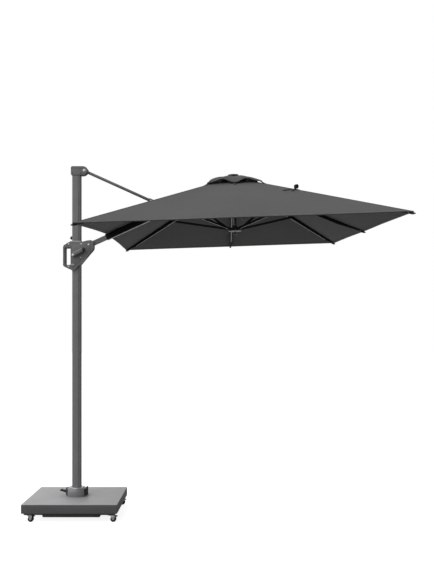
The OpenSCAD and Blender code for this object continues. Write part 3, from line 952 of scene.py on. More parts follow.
@dataclass
class Base:
    """The weighted slab on its frame, pan and casters, with the foot collar and its pedal."""

    places: Places
    paint: Finishes
    caster_at: float = 0.299
    axle_out: float = 0.015
    wheel_r: float = 0.021

    def build(self) -> None:
        """Build every piece of the base."""
        self.slab()
        self.under_frame()
        for name, sx, sy in (("nl", -1, -1), ("nr", 1, -1), ("fl", -1, 1), ("fr", 1, 1)):
            self.caster(name, sx, sy)
        self.plates()
        self.collar()
        self.pedal()

    def slab(self) -> None:
        """The stone slab with its eased edges, its sides painted darker as painted shade."""
        refined("slab", "base", [self.paint.stone], "slab_stone", 0.0025, 3, "stone")

    def under_frame(self) -> None:
        """The flat bars and the pan under the slab."""
        make = Maker()
        for node in ("frame_long", "frame_cross"):
            make.copy_of(node)
        make.ease(0.0012, 2, 30)
        foot = self.places.mast
        for sx in (-1, 1):
            for sy in (-1, 1):
                make.bolt(foot + Vector((sx * 0.26, sy * 0.305, 0.054)), Vector((0, 0, -1)), 0.006, 0.004)
        make.piece("slab_frame", "base", [self.paint.black_metal], ("frame_long", "frame_cross"), "black_steel")

        def ribs(pan: Maker) -> None:
            """Add pressed ribs under the pan."""
            for y in (-0.15, 0.0, 0.15):
                pan.block((0.34, 0.03, 0.004), foot + Vector((0, y, 0.0195)), None, 0.0015, 2)

        refined("tray", "base", [self.paint.tray], "weight_pan", 0.003, 2, "tray", ribs)

    def caster(self, name: str, sx: int, sy: int) -> None:
        """One swivel caster: its fork, wheel and brake tab.

        Args:
            name: the caster's short name.
            sx: its side along X.
            sy: its side along Y.
        """
        spot = self.places.mast + Vector((sx * self.caster_at, sy * self.caster_at, 0))
        axle = spot + Vector((self.axle_out, 0, self.wheel_r))

        def fork_details(make: Maker) -> None:
            """Add the axle's nuts."""
            for side in (-1, 1):
                make.rod(axle + Vector((0, side * 0.0183, 0)), axle + Vector((0, side * 0.0215, 0)), 0.0052,
                         sides=6, bevel=0.0004)

        refined("fork_" + name, "caster_" + name, [self.paint.zinc], "caster_fork_" + name, 0.0006, 2, "zinc",
                fork_details)
        make = Maker()
        half = [(0.0033, 0.0139), (0.0085, 0.0139), (0.0095, 0.0125), (0.0155, 0.0118), (0.0165, 0.0132),
                (0.0188, 0.0135), (0.0206, 0.0122), (0.021, 0.0105), (0.021, 0.0035), (0.0204, 0.0018),
                (0.019, 0.0012), (0.0165, 0.0012)]
        profile = [(r, -h) for r, h in half] + [(r, h) for r, h in reversed(half)] + [(0.0033, -0.0139)]
        make.lathe(profile, axle, Axis.Y, 48)
        for face in make.bm.faces:
            centre = face.calc_center_median() - axle
            if math.hypot(centre.x, centre.z) < 0.0158:
                face.material_index = 1
        for turn in range(5):
            angle = math.tau * turn / 5
            for side in (-1, 1):
                hole = axle + Vector((0.0125 * math.cos(angle), side * 0.0122, 0.0125 * math.sin(angle)))
                make.rod(hole, hole + Vector((0, side * 0.0008, 0)), 0.0018, sides=12, bevel=0.0002, paint=1)
        make.piece("caster_wheel_" + name, "roller_" + name, [self.paint.rubber, self.paint.plastic],
                   ("wheel_" + name,), "tyre")

        def tread(tab: Maker) -> None:
            """Add grip ribs on the brake tab."""
            for step in range(3):
                at = spot + Vector((0.034 + step * 0.0036, 0, 0.0449 - step * 0.001))
                tab.block((0.0012, 0.024, 0.001), at, None, 0.0003, 1)

        refined("brake_" + name, "tab_" + name, [self.paint.plastic], "brake_tab_" + name, 0.0006, 2,
                "black_plastic", tread)

    def plates(self) -> None:
        """The four plates that carry the casters, with their screws."""

        def screws(make: Maker) -> None:
            """Add four screws to each plate."""
            for sx in (-1, 1):
                for sy in (-1, 1):
                    spot = self.places.mast + Vector((sx * self.caster_at, sy * self.caster_at, 0.0505))
                    for tx in (-1, 1):
                        for ty in (-1, 1):
                            make.bolt(spot + Vector((tx * 0.019, ty * 0.019, 0)), Vector((0, 0, -1)),
                                      0.003, 0.0018)

        refined("caster_plates", "base", [self.paint.zinc], "caster_top_plates", 0.0006, 2, "zinc", screws)

    def collar(self) -> None:
        """The foot collar, its bolts and its screw lug."""
        foot = self.places.mast
        top = low_high("collar")[1].z

        def rings(make: Maker) -> None:
            """Add the weld bead at the foot and a turned line below the top."""
            make.ring(0.0785, 0.0022, foot + Vector((0, 0, top - 0.0612)), Axis.Z, 72)
            make.ring(0.0673, 0.0012, foot + Vector((0, 0, top - 0.0022)), Axis.Z, 72)

        refined("collar", "base", [self.paint.collar], "foot_collar", 0.0016, 3, "collar", rings)
        # Two black bands on the collar's left and right flanks: painted shade where the round collar turns away
        # from the light.
        make = Maker()
        arc = [math.radians(-38 + 76 * step / 16) for step in range(17)]
        band = [(0.0826 * math.cos(a), 0.0826 * math.sin(a)) for a in arc]
        band += [(0.0796 * math.cos(a), 0.0796 * math.sin(a)) for a in reversed(arc)]
        for start in (0, 180):
            place = Matrix.Translation(foot) @ Matrix.Rotation(math.radians(start), 4, "Z")
            place = place @ Matrix.Rotation(math.radians(90), 4, "X")
            make.plate(band, top - 0.052, top - 0.004, 0.0008, 2, 0, place)
        make.piece("collar_side_straps", "base", [self.paint.plastic], (), "black_plastic")
        make = Maker()
        for turn in range(4):
            angle = math.radians(45 + 90 * turn)
            at = foot + Vector((0.0648 * math.cos(angle), 0.0648 * math.sin(angle), top + 0.0002))
            make.bolt(at, Vector((0, 0, 1)), 0.0046, 0.0042)
        make.piece("collar_screws", "base", [self.paint.bolt], ("collar_bolts",), "bolts")

        def lug_screw(lug: Maker) -> None:
            """Add the lug's clamp screw."""
            at = Vector(((low_high("collar_lug")[1].x), foot.y, top - 0.016))
            lug.rod(at - Vector((0.009, 0, 0)), at + Vector((0.0012, 0, 0)), 0.0029, sides=20, paint=1)
            lug.bolt(at, Vector((1, 0, 0)), 0.0052, 0.0036, 1)

        refined("collar_lug", "base", [self.paint.plastic, self.paint.bolt], "collar_clamp_lug", 0.0012, 2,
                "black_plastic", lug_screw)

    def pedal(self) -> None:
        """The foot pedal that frees the mast, with its tread and its screw."""
        low, high = low_high("pedal")

        def tread(make: Maker) -> None:
            """Add the tread bars."""
            for step in range(5):
                x = low.x + 0.007 + step * 0.0058
                z = high.z - 0.0044 - step * 0.0011
                make.block((0.0022, 0.026, 0.0022), (x, self.places.mast.y, z), None, 0.0006, 2)

        refined("pedal", "foot_pedal", [self.paint.plastic], "mast_turn_pedal", 0.0016, 3, "black_plastic", tread)


# ---------------------------------------------------------------------------------------------------------
# Mast
# ---------------------------------------------------------------------------------------------------------


@dataclass
class Mast:
    """The mast tube with its rails, head, stop button and foot socket."""

    places: Places
    paint: Finishes

    def build(self) -> None:
        """Build every piece of the mast."""
        refined("mast_socket", "mast", [self.paint.zinc], "mast_foot_socket", 0.0012, 2, "zinc")
        refined("mast_tube", "mast", [self.paint.mast], "mast_main_tube", 0.0, 1, "mast_paint")
        refined("mast_rail", "mast", [self.paint.rail], "mast_guide_rails", 0.0004, 1, "black_plastic",
                self.rail_steps)
        refined("mast_head", "mast", [self.paint.housing, self.paint.plastic], "mast_head_housing", 0.004, 4,
                "housing", self.head_details, 25.0)
        self.head_pin()
        refined("stop_knob", "lock_button", [self.paint.plastic], "mast_stop_button", 0.0012, 3, "black_plastic",
                self.stop_grip)

    def rail_steps(self, make: Maker) -> None:
        """Add the small end stops of the rails."""
        low, high = low_high("mast_rail")
        for z in (low.z + 0.008, high.z - 0.008):
            for side in (low.y + 0.0004, high.y - 0.0004):
                make.block((0.009, 0.0012, 0.012), ((low.x + high.x) / 2, side, z), None, 0.0003, 1)

    def head_details(self, make: Maker) -> None:
        """Add the cap line and the side discs of the head."""
        low, high = low_high("mast_head")
        middle = (low + high) / 2
        make.block((0.098, 0.0692, 0.0016), (low.x + 0.0535, middle.y, high.z - 0.0145), None, 0.0005, 2, 1)
        for x in (low.x + 0.012, low.x + 0.078):
            for side in (-1, 1):
                at = Vector((x, middle.y + side * 0.0338, low.z + 0.014))
                make.bolt(at, Vector((0, side, 0)), 0.0032, 0.0016, 1)

    def head_pin(self) -> None:
        """The pin that carries the strut, with its two domed heads."""
        low, high = low_high("head_bolt")
        middle = (low + high) / 2
        make = Maker()
        make.rod((middle.x, low.y + 0.002, middle.z), (middle.x, high.y - 0.002, middle.z), 0.005, bevel=0.0)
        for side in (-1, 1):
            make.bolt((middle.x, middle.y + side * 0.0341, middle.z), Vector((0, side, 0)), 0.0078, 0.0042)
        make.piece("mast_head_pin", "mast", [self.paint.bolt], ("head_bolt",), "bolts")

    def stop_grip(self, make: Maker) -> None:
        """Add grip lines on the stop button."""
        low, high = low_high("stop_knob")
        for step in range(3):
            z = (low.z + high.z) / 2 - 0.003 + step * 0.003
            make.block((0.0012, 0.009, 0.0012), (low.x + 0.0002, (low.y + high.y) / 2, z), None, 0.0003, 1)


# ---------------------------------------------------------------------------------------------------------
# Carriage
# ---------------------------------------------------------------------------------------------------------


@dataclass
class Carriage:
    """The grip housing that slides on the mast, with its bolts, crank and knob."""

    places: Places
    paint: Finishes
    wall: float = 0.044

    def build(self) -> None:
        """Build every piece of the carriage."""
        for node, side in (("carriage_front", -1), ("carriage_back", 1)):
            self.shell(node, side)
        self.bolts()
        refined("carriage_rim", "carriage", [self.paint.trim], "carriage_top_rim", 0.0016, 3, "trim")
        self.crank()

    def at(self, x: float, y: float, z: float) -> Vector:
        """A point from the mast's axis."""
        return self.places.mast + Vector((x, y, z))

    def shell(self, node: str, side: int) -> None:
        """One half of the housing, with its raised cheek and its pressed lines.

        Args:
            node: the CAD node of the half.
            side: -1 for the near half and 1 for the far half.
        """
        face = side * self.wall

        def cheek(make: Maker) -> None:
            """Paint the grip's inner walls black as painted shade inside the opening, and add the raised cheek,
            the grip's lip and a small latch.
            """
            # The grip opening's inner walls are painted black: painted shade in the recess.
            for wall in make.bm.faces:
                spot = wall.calc_center_median() - self.places.mast
                if abs(wall.normal.y) < 0.5 and -0.0875 < spot.x < -0.0385 and 1.878 < spot.z < 2.016:
                    wall.material_index = 1
            if side < 0:
                make.block((0.024, 0.003, 0.009), self.at(-0.026, face - 0.0022, 1.884), None, 0.001, 2, 2)
            panel = [(-0.034, 1.862), (-0.018, 1.866), (0.024, 1.908), (0.094, 1.984), (0.113, 2.006),
                     (0.115, 2.036), (0.106, 2.05), (0.072, 2.05), (0.046, 2.038), (-0.034, 2.036)]
            base = self.places.mast
            outline = [(base.x + x, z) for x, z in panel]
            low, high = sorted((base.y + face - side * 0.001, base.y + face + side * 0.0022))
            make.plate(outline, low, high, 0.0012, 3)
            lip = [(-0.0865, 1.8795), (-0.0395, 1.8795), (-0.0395, 2.0145), (-0.0865, 2.0145)]
            self.grip_lip(make, side, lip)

        refined(node, "carriage", [self.paint.housing, self.paint.plastic, self.paint.trim],
                "housing_" + node.split("_")[1], 0.004, 4, "housing", cheek, 25.0)

    def grip_lip(self, make: Maker, side: int, corners: Sequence[tuple[float, float]]) -> None:
        """A soft lip round the grip opening.

        Args:
            make: where the lip is made.
            side: the side of the housing.
            corners: the lip's corners from the mast's axis.
        """
        count = len(corners)
        y = side * (self.wall + 0.0004)
        for index, (x, z) in enumerate(corners):
            nx, nz = corners[(index + 1) % count]
            make.rod(self.at(x, y, z), self.at(nx, y, nz), 0.0016, sides=12, bevel=0.0)

    def bolts(self) -> None:
        """The housing's through bolts and the arm's hinge pin."""
        make = Maker()
        for x, z in ((-0.055, 2.04), (0.039, 2.04), (0.037, 1.938), (-0.056, 1.87)):
            for side in (-1, 1):
                make.bolt(self.at(x, side * 0.0445, z), Vector((0, side, 0)), 0.0046, 0.0034)
        make.rod(self.at(0.095, -0.045, 2.035), self.at(0.095, 0.045, 2.035), 0.005, bevel=0.0)
        for side in (-1, 1):
            make.bolt(self.at(0.095, side * 0.0456, 2.035), Vector((0, side, 0)), 0.0062, 0.0042)
        make.piece("carriage_bolt_set", "carriage", [self.paint.bolt], ("carriage_bolts",), "bolts")

    def crank(self) -> None:
        """The winding crank and its spinning knob."""

        low, high = low_high("crank_knob")
        middle = (low + high) / 2
        root = self.at(-0.02, -0.0665, 1.955)
        lever = self.places.along(root, Vector((middle.x, root.y, middle.z)))
        face_y = low_high("crank_arm")[0].y - root.y

        def hub(make: Maker) -> None:
            """Add the hub's screw, a light upper line as a painted highlight and a black lower block as a painted
            shadow under the lever.
            """
            make.bolt(root, Vector((0, -1, 0)), 0.0065, 0.003, 1)
            reach = (Vector((middle.x, root.y, middle.z)) - root).length
            # A light strip along the lever's top as painted highlight, and a black block below it as painted
            # shadow.
            for z, tall, paint in ((0.0125, 0.0042, 2), (-0.015, 0.014, 3)):
                make.block((reach - 0.004, 0.005, tall), lever @ Vector((reach / 2, face_y + 0.002, z)),
                           lever.to_3x3().to_4x4(), 0.0004, 2, paint)

        refined("crank_arm", "crank", [self.paint.housing, self.paint.bolt, self.paint.trim, self.paint.plastic],
                "crank_lever", 0.002, 3, "housing", hub)
        make = Maker()
        make.lathe([(0.0, 0.0), (0.003, 0.0), (0.003, 0.0105), (0.0085, 0.0108), (0.0102, 0.013),
                    (0.0108, 0.018), (0.0098, 0.024), (0.0102, 0.032), (0.0109, 0.037), (0.0104, 0.0408),
                    (0.0078, 0.0436), (0.0, 0.044)], (middle.x, high.y, middle.z), Vector((0, -1, 0)), 40)
        for turn in range(12):
            angle = math.tau * turn / 12
            off = Vector((0.0098 * math.cos(angle), 0, 0.0098 * math.sin(angle)))
            start = Vector((middle.x, low.y + 0.012, middle.z)) + off
            make.rod(start, start + Vector((0, 0.016, 0)), 0.0009, sides=8, bevel=0.0)
        make.piece("crank_grip_knob", "crank_grip", [self.paint.plastic], ("crank_knob",), "black_plastic")


# ---------------------------------------------------------------------------------------------------------
# Arm and strut
# ---------------------------------------------------------------------------------------------------------


@dataclass
class ArmAndStrut:
    """The folding arm under the canopy and the strut that holds it from the mast head."""

    places: Places
    paint: Finishes
    joint_at: float = 0.6647
    strut_length: float = 0.7016

    def build(self) -> None:
        """Build the arm and the strut."""
        hinge = self.places.spot("arm_fold")
        frame = self.places.along(hinge, self.places.spot("crown_fold"))
        refined("arm_tube", "arm", [self.paint.arm], "arm_main_tube", 0.004, 4, "arm_paint")
        self.sleeve(frame)
        refined("arm_rail", "arm", [self.paint.rib], "arm_cord_rail", 0.0015, 3, "black_tube")
        refined("strut_tube", "strut", [self.paint.arm], "strut_round_tube", 0.0006, 2, "arm_paint")
        self.fork(frame)

    def sleeve(self, frame: Matrix) -> None:
        """The sleeve of the arm, painted black as the canopy's shadow on it, with its lower face painted light as
        a highlight of floor light, and end collars.

        Args:
            frame: the arm's own frame.
        """
        down = -(frame.to_3x3() @ Vector((0, 0, 1)))

        def collars(make: Maker) -> None:
            """Paint the lower face light as a painted highlight and add the ends and the strut's boss."""
            # Faces that point down get the light painted highlight.
            for face in make.bm.faces:
                if face.normal.dot(down) > 0.9:
                    face.material_index = 1
            for s in (0.1465, 1.0555):
                for y in (-0.0182, 0.0182):
                    make.block((0.006, 0.0012, 0.03), frame @ Vector((s, y, 0)),
                               frame.to_3x3().to_4x4(), 0.0005, 2)
            for side in (-1, 1):
                at = frame @ Vector((self.joint_at, side * 0.0178, 0))
                make.lathe([(0.0, 0.0), (0.0125, 0.0), (0.0125, 0.0008), (0.0, 0.0008)], at,
                           Vector((0, side, 0)), 32)

        # The sleeve is black as painted shadow from the canopy; outside it the arm keeps its own grey.
        refined("arm_sleeve", "arm", [self.paint.rib, self.paint.rib_painted_highlight], "arm_outer_sleeve", 0.003, 3,
                "black_tube", collars)

    def fork(self, frame: Matrix) -> None:
        """The strut's fork with its bolts.

        Args:
            frame: the arm's own frame.
        """
        meeting = frame @ Vector((self.joint_at, 0, 0))
        root = self.places.spot("strut_fold")
        strut = self.places.along(root, meeting)

        def bolts(make: Maker) -> None:
            """Add the hinge bolts and the clamp screws."""
            for side in (-1, 1):
                at = strut @ Vector((self.strut_length, side * 0.0262, 0))
                make.bolt(at, Vector((0, side, 0)), 0.006, 0.003, 1)
                clamp = strut @ Vector((self.strut_length - 0.15, side * 0.0229, 0))
                make.bolt(clamp, Vector((0, side, 0)), 0.0042, 0.0024, 1)

        refined("strut_fork", "strut", [self.paint.black_metal, self.paint.bolt], "strut_end_fork", 0.0014, 3,
                "black_steel", bolts)


# ---------------------------------------------------------------------------------------------------------
# Canopy frame
# ---------------------------------------------------------------------------------------------------------


class Side(Enum):
    """The eight lines of the canopy, as places round its rim, going from the outer middle to the far side."""

    OUT = 0
    FAR_OUT = 1
    FAR = 2
    FAR_IN = 3
    ARM = 4
    NEAR_IN = 5
    NEAR = 6
    NEAR_OUT = 7

    @property
    def label(self) -> str:
        """The line's name in the record."""
        return self.name.lower()


@dataclass
class CanopyFrame:
    """The crown, the runner below it, the ribs and the stretchers."""

    places: Places
    paint: Finishes
    runner_drop: float = 0.372
    cap_length: float = 0.05
    taper_from: float = 0.2
    taper_to: float = 0.06
    taper_rise: float = 0.012

    def build(self) -> None:
        """Build every piece of the canopy's frame."""
        self.hub()
        self.runner()
        for side in Side:
            if side is not Side.ARM:
                self.rib(side)
            self.stretcher(side)

    def hub(self) -> None:
        """The crown hub with its screws, and the button on top of the canopy."""
        crown = self.places.crown

        def screws(make: Maker) -> None:
            """Add a rim line and the screws under the hub."""
            make.ring(0.0945, 0.0016, crown @ Vector((0, 0, -0.044)), crown.to_3x3() @ Vector((0, 0, 1)), 72)
            down = crown.to_3x3() @ Vector((0, 0, -1))
            for degrees in (28, 73, 107, 253, 287, 332):
                angle = math.radians(degrees)
                at = crown @ Vector((0.084 * math.cos(angle), 0.084 * math.sin(angle), -0.0518))
                make.bolt(at, down, 0.0036, 0.002, 1)

        refined("crown_hub", "crown", [self.paint.plastic, self.paint.bolt], "crown_hub_casting", 0.0015, 2,
                "black_plastic", screws)
        make = Maker()
        make.lathe([(0.0, 0.004), (0.014, 0.004), (0.014, 0.027), (0.0435, 0.0285), (0.045, 0.030),
                    (0.0442, 0.0325), (0.0405, 0.039), (0.0385, 0.0415), (0.03, 0.043), (0.02, 0.0424),
                    (0.017, 0.0436), (0.0, 0.044)], crown.translation, crown.to_3x3() @ Vector((0, 0, 1)), 64)
        make.piece("crown_top_button", "crown", [self.paint.shade_painted_cloth], ("crown_cap",), "fabric")

    def runner(self) -> None:
        """The runner that pushes the stretchers, with its light cover, ball and ring."""
        crown = self.places.crown
        up = crown.to_3x3() @ Vector((0, 0, 1))
        refined("runner_hub", "runner", [self.paint.plastic], "runner_casting", 0.0012, 2, "black_plastic")
        foot = crown @ Vector((0, 0, -self.runner_drop - 0.012))
        make = Maker()
        make.copy_of("runner_pull")
        make.ease(0.0007, 2, 40)
        make.lathe([(0.0, -0.006), (0.0095, -0.007), (0.0098, -0.0085), (0.0125, -0.0125), (0.0133, -0.017),
                    (0.0122, -0.0215), (0.0088, -0.0248), (0.004, -0.0265), (0.0, -0.0268)], foot, up, 40, 1)
        make.ring(0.009, 0.0018, foot - up * 0.029, Vector((0, 1, 0)), 40, 1)
        make.piece("runner_cover_and_ring", "runner", [self.paint.trim, self.paint.plastic], ("runner_pull",),
                   "trim")

    def bar_piece(self, node: str, body: str, name: str, tip_cap: float, strip: float) -> None:
        """A long bar with a painted highlight line along its lower face.

        Args:
            node: its CAD node.
            body: its body.
            name: its piece's name.
            tip_cap: the length of the moulded cap at its outer end.
            strip: the width of the painted highlight line, or zero for none.
        """
        make = Maker()
        make.copy_of(node)
        crown = self.places.crown
        far = max(make.bm.verts, key=lambda v: (v.co - crown.translation).length).co.copy()
        near = max(make.bm.verts, key=lambda v: (v.co - far).length).co.copy()
        run = (far - near).normalized()
        up = (Vector((0, 0, 1)) - run * run.z).normalized()
        if tip_cap > self.cap_length / 2:
            self.taper(make, far, run, up)
        make.ease(0.0022, 3, 35.0)
        if strip > 0:
            side = up.cross(run).normalized()
            low = min((v.co for v in make.bm.verts), key=lambda co: (co - near).dot(up))
            drop = (low - near).dot(up)
            level = near + up * drop
            mids = [v.co.dot(side) for v in make.bm.verts]
            level += side * ((max(mids) + min(mids)) / 2 - level.dot(side))
            start, end = 0.05, (far - near).length - 0.02 - 3.6 * tip_cap
            # The light strip under the bar is a painted highlight of floor light on its lower face.
            frame = self.places.along(level, level + run)
            make.block((end - start, strip, 0.0006), frame @ Vector(((start + end) / 2, 0, 0)),
                       frame.to_3x3().to_4x4(), 0.0002, 1, 1)
        make.piece(name, body, [self.paint.rib, self.paint.rib_painted_highlight], (node,), "black_tube")

    def taper(self, make: Maker, far: Vector, run: Vector, up: Vector) -> None:
        """Make a rib lower towards its outer end.

        Args:
            make: where the rib is made.
            far: a point at its outer end.
            run: the direction along it, outwards.
            up: the direction above it.
        """
        for back in (self.taper_from, self.taper_to):
            geom = list(make.bm.verts) + list(make.bm.edges) + list(make.bm.faces)
            bmesh.ops.bisect_plane(make.bm, geom=geom, dist=1e-6, plane_co=far - run * back, plane_no=run)
        end = [v for v in make.bm.verts if (far - v.co).dot(run) < self.taper_to + 0.001]
        levels = [v.co.dot(up) for v in end]
        middle = (max(levels) + min(levels)) / 2
        for vert in end:
            if vert.co.dot(up) < middle:
                vert.co += up * self.taper_rise

    def rib(self, side: Side) -> None:
        """One rib.

        Args:
            side: the canopy line that it holds.
        """
        # Width of the painted highlight line under the rib, none on the outer rib.
        strip = 0.0 if side is Side.OUT else 0.0042
        self.bar_piece("rib_" + side.label, "rib_" + side.label, "canopy_rib_" + side.label,
                       self.cap_length, strip)
        self.rib_end(side)

    def rib_end(self, side: Side) -> None:
        """The moulded cap at a rib's outer end.

        Args:
            side: the rib's canopy line.
        """
        line = CanopyCover.rim_point(side.value)
        crown = self.places.crown
        reach = math.hypot(line[0], line[1])
        slope = math.atan(CanopyCover.rise / reach)
        out = Vector((line[0] / reach, line[1] / reach, 0))
        run = crown.to_3x3() @ Vector((out.x * math.cos(slope), out.y * math.cos(slope), -math.sin(slope)))
        length = reach / math.cos(slope) - 0.014
        start = crown.translation + run * (length - 0.045)
        frame = self.places.along(start, start + run)
        make = Maker()
        profile = [(0.0, -0.0012), (0.0475, -0.0012), (0.066, 0.0065), (0.066, 0.0095), (0.052, 0.0131),
                   (0.0, 0.0131)]
        make.plate(profile, -0.0079, 0.0079, 0.0018, 3, 0, frame)
        make.block((0.003, 0.0166, 0.0152), frame @ Vector((0.002, 0, 0.006)), frame.to_3x3().to_4x4(), 0.0006, 2)
        make.bolt(frame @ Vector((0.02, -0.0079, 0.006)), frame.to_3x3() @ Vector((0, -1, 0)), 0.003, 0.0014, 1)
        make.piece("rib_cap_" + side.label, "rib_" + side.label, [self.paint.plastic, self.paint.bolt], (),
                   "black_plastic")

    def stretcher(self, side: Side) -> None:
        """One stretcher between the runner and its rib.

        Args:
            side: the canopy line that it holds up.
        """
        # Width of the painted highlight line under the stretcher, none on the out, far-out and far-in lines.
        strip = 0.0 if side in (Side.OUT, Side.FAR_OUT, Side.FAR_IN) else 0.0034
        self.bar_piece("bar_" + side.label, "bar_" + side.label, "stretcher_" + side.label, 0.01, strip)


# ---------------------------------------------------------------------------------------------------------
# Canopy cloth
# ---------------------------------------------------------------------------------------------------------


@dataclass
class CanopyCover:
    """The stretched canopy with its vent, seams, hems, pockets and closing strap.

    A place on the canopy is given by a share s of the way from the crown to the rim and a turn t round the rim,
    where each whole number of t is one of the eight lines of Side.
    """

    rise: ClassVar[float] = 0.436
    half_l: ClassVar[float] = 0.988
    half_w: ClassVar[float] = 1.5
    places: Places
    paint: Finishes
    lift: float = 0.019
    cloth: float = 0.0026
    opening: float = 0.13
    sag: float = 0.007
    bow: float = 0.007
    hem: float = 0.026
    seam: float = 0.011
    arch: float = 0.034
    arch_gain: float = 0.014
    arch_round: float = 0.0016
    kept: float = 0.14
    thread: float = 0.0009
    tape_edge: float = 0.0072
    binding: float = 0.012
    vent_start: float = 0.026
    vent_end: float = 0.2
    vent_lift: float = 0.0215
    vent_drop: float = 0.084
    vent_raise: float = 0.031
    vent_middle: float = 0.027
    vent_bow: float = 0.1
    bend_from: float = 0.05
    bend_to: float = 0.13
    slit: tuple[float, float, float, float] = (-0.635, -0.445, -0.044, 0.022)

    def build(self) -> None:
        """Build every cloth piece."""
        for side in Side:
            self.panel(side)
        for side in Side:
            self.vent_panel(side)
        self.strap()

    @classmethod
    def rim_point(cls, turn: float) -> tuple[float, float]:
        """The rim's X and Y at a turn.

        Args:
            turn: the place round the rim, from 0 to 8.

        Returns:
            The point in the crown's frame.
        """
        corners = [(1, 0), (1, 1), (0, 1), (-1, 1), (-1, 0), (-1, -1), (0, -1), (1, -1)]
        turn %= 8
        first = int(turn)
        part = turn - first
        a, b = corners[first], corners[(first + 1) % 8]
        return ((a[0] + (b[0] - a[0]) * part) * cls.half_l, (a[1] + (b[1] - a[1]) * part) * cls.half_w)

    def spread(self, x: float, y: float) -> tuple[float, float]:
        """The share and the turn of a point of the crown's frame.

        Args:
            x: the point's X.
            y: the point's Y.

        Returns:
            The share s and the turn t.
        """
        u, v = x / self.half_l, y / self.half_w
        share = max(abs(u), abs(v), 1e-9)
        u, v = u / share, v / share
        if abs(u) >= abs(v):
            return share, (v if u > 0 else 4 - v) % 8
        return share, (2 - u if v > 0 else 6 + u) % 8

    def height(self, share: float, turn: float) -> float:
        """The cloth's height at a place, above the meeting point of the ribs.

        Args:
            share: the way from the crown to the rim.
            turn: the place round the rim.

        Returns:
            The height.
        """
        off = turn - round(turn)
        away = min(1.0, abs((turn % 8) - 4.0))
        round_off = math.sqrt(away * away + self.arch_round) - 0.04 * (1 - away)
        arch = self.arch + self.arch_gain * (share - self.opening) / (1 - self.opening)
        arch *= max(0.0, 1.0 - round_off)
        slack = math.sin(math.pi * min(1.0, max(0.0, (share - self.opening) / (1 - self.opening))))
        return self.lift - self.rise * share + arch - self.sag * math.sin(math.pi * off) ** 2 * slack

    def on_cloth(self, share: float, turn: float, above: float = 0.0) -> Vector:
        """A point on the canopy.

        Args:
            share: the way from the crown to the rim.
            turn: the place round the rim.
            above: the height above the cloth.

        Returns:
            The point in the frame of the whole.
        """
        x, y = self.rim_point(turn)
        pull = share * (1 - self.bow * math.sin(math.pi * (turn - round(turn))) ** 2 * share ** 3)
        return self.places.crown @ Vector((x * pull, y * pull, self.height(share, turn) + above))

    def beside(self, side: Side, share: float, off: float, above: float) -> Vector:
        """A point beside one of the canopy's lines.

        Args:
            side: the line.
            share: the way from the crown to the rim.
            off: how far beside the line.
            above: the height above the cloth.

        Returns:
            The point in the frame of the whole.
        """
        x, y = self.rim_point(side.value)
        reach = math.hypot(x, y)
        place = (x * share - y / reach * off, y * share + x / reach * off)
        way, turn = self.spread(*place)
        shrink = min(1.0, 0.999 / way)
        place = (place[0] * shrink, place[1] * shrink)
        return self.places.crown @ Vector((*place, self.height(way * shrink, turn) + above))

    def vent_height(self, share: float, turn: float) -> float:
        """The vent's height at a place, above the meeting point of the ribs.

        Args:
            share: the way from the crown to the rim.
            turn: the place round the rim.

        Returns:
            The height.
        """
        off = turn - round(turn)
        drop = self.vent_drop * max(0.0, (share - 0.02) / 0.18) ** 1.7
        way = max(0.0, (share - self.vent_start) / (self.vent_end - self.vent_start))
        raised = self.vent_raise * way ** 1.1
        away = min(1.0, abs((turn % 8) - 4.0))
        middle = self.vent_middle * (share - 0.045) / 0.155 * (1 - away)
        return self.vent_lift - 0.9 * drop + raised * math.sin(math.pi * off) ** 2 + middle

    def on_vent(self, share: float, turn: float, above: float = 0.0) -> Vector:
        """A point on the vent.

        Args:
            share: the way from the crown to the rim.
            turn: the place round the rim.
            above: the height above the vent.

        Returns:
            The point in the frame of the whole.
        """
        x, y = self.rim_point(turn)
        wave = math.sin(math.pi * (turn - round(turn))) ** 2
        pull = share * (1 - self.vent_bow * wave * ((share - self.vent_start) / 0.16) ** 2)
        return self.places.crown @ Vector((x * pull, y * pull, self.vent_height(share, turn) + above))

    def fold(self, piece: bpy.types.Object, side: Side, keep: float) -> None:
        """Give a piece its own copy of its mesh.

        Args:
            piece: the cloth piece.
            side: its line.
            keep: not used.
        """
        x, y = self.rim_point(side.value)
        across = self.places.crown.to_3x3() @ Vector((-y, x, 0)).normalized()
        tuple(self.on_cloth(0.5, side.value))
        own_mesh(piece)

    def drape(self, side: Side) -> tuple[str, str, Vector, Vector]:
        """Two bodies and two points near a line's hinge at the crown, given to the vent's pieces.

        Args:
            side: the line.

        Returns:
            The two bodies and the two points.
        """
        x, y = self.rim_point(side.value)
        out = Vector((x, y, 0)).normalized()
        return ("crown", self.body(side), self.places.crown @ (out * self.bend_from),
                self.places.crown @ (out * self.bend_to))

    @staticmethod
    def body(side: Side) -> str:
        """The body that carries a line's cloth."""
        return "arm" if side is Side.ARM else "rib_" + side.label

    def panel(self, side: Side) -> None:
        """The canopy cloth over one line, from the middle of one gore to the middle of the next.

        Args:
            side: the line.
        """
        middle = float(side.value)
        down = self.places.crown.to_3x3() @ Vector((0, 0, -1))

        def place(a: float, b: float) -> Vector:
            """A point of the panel."""
            return self.on_cloth(self.opening + (1 - self.opening) * a, middle - 0.5 + b)

        make = Maker()
        hole = (self.places.crown, self.slit) if side is Side.ARM else None
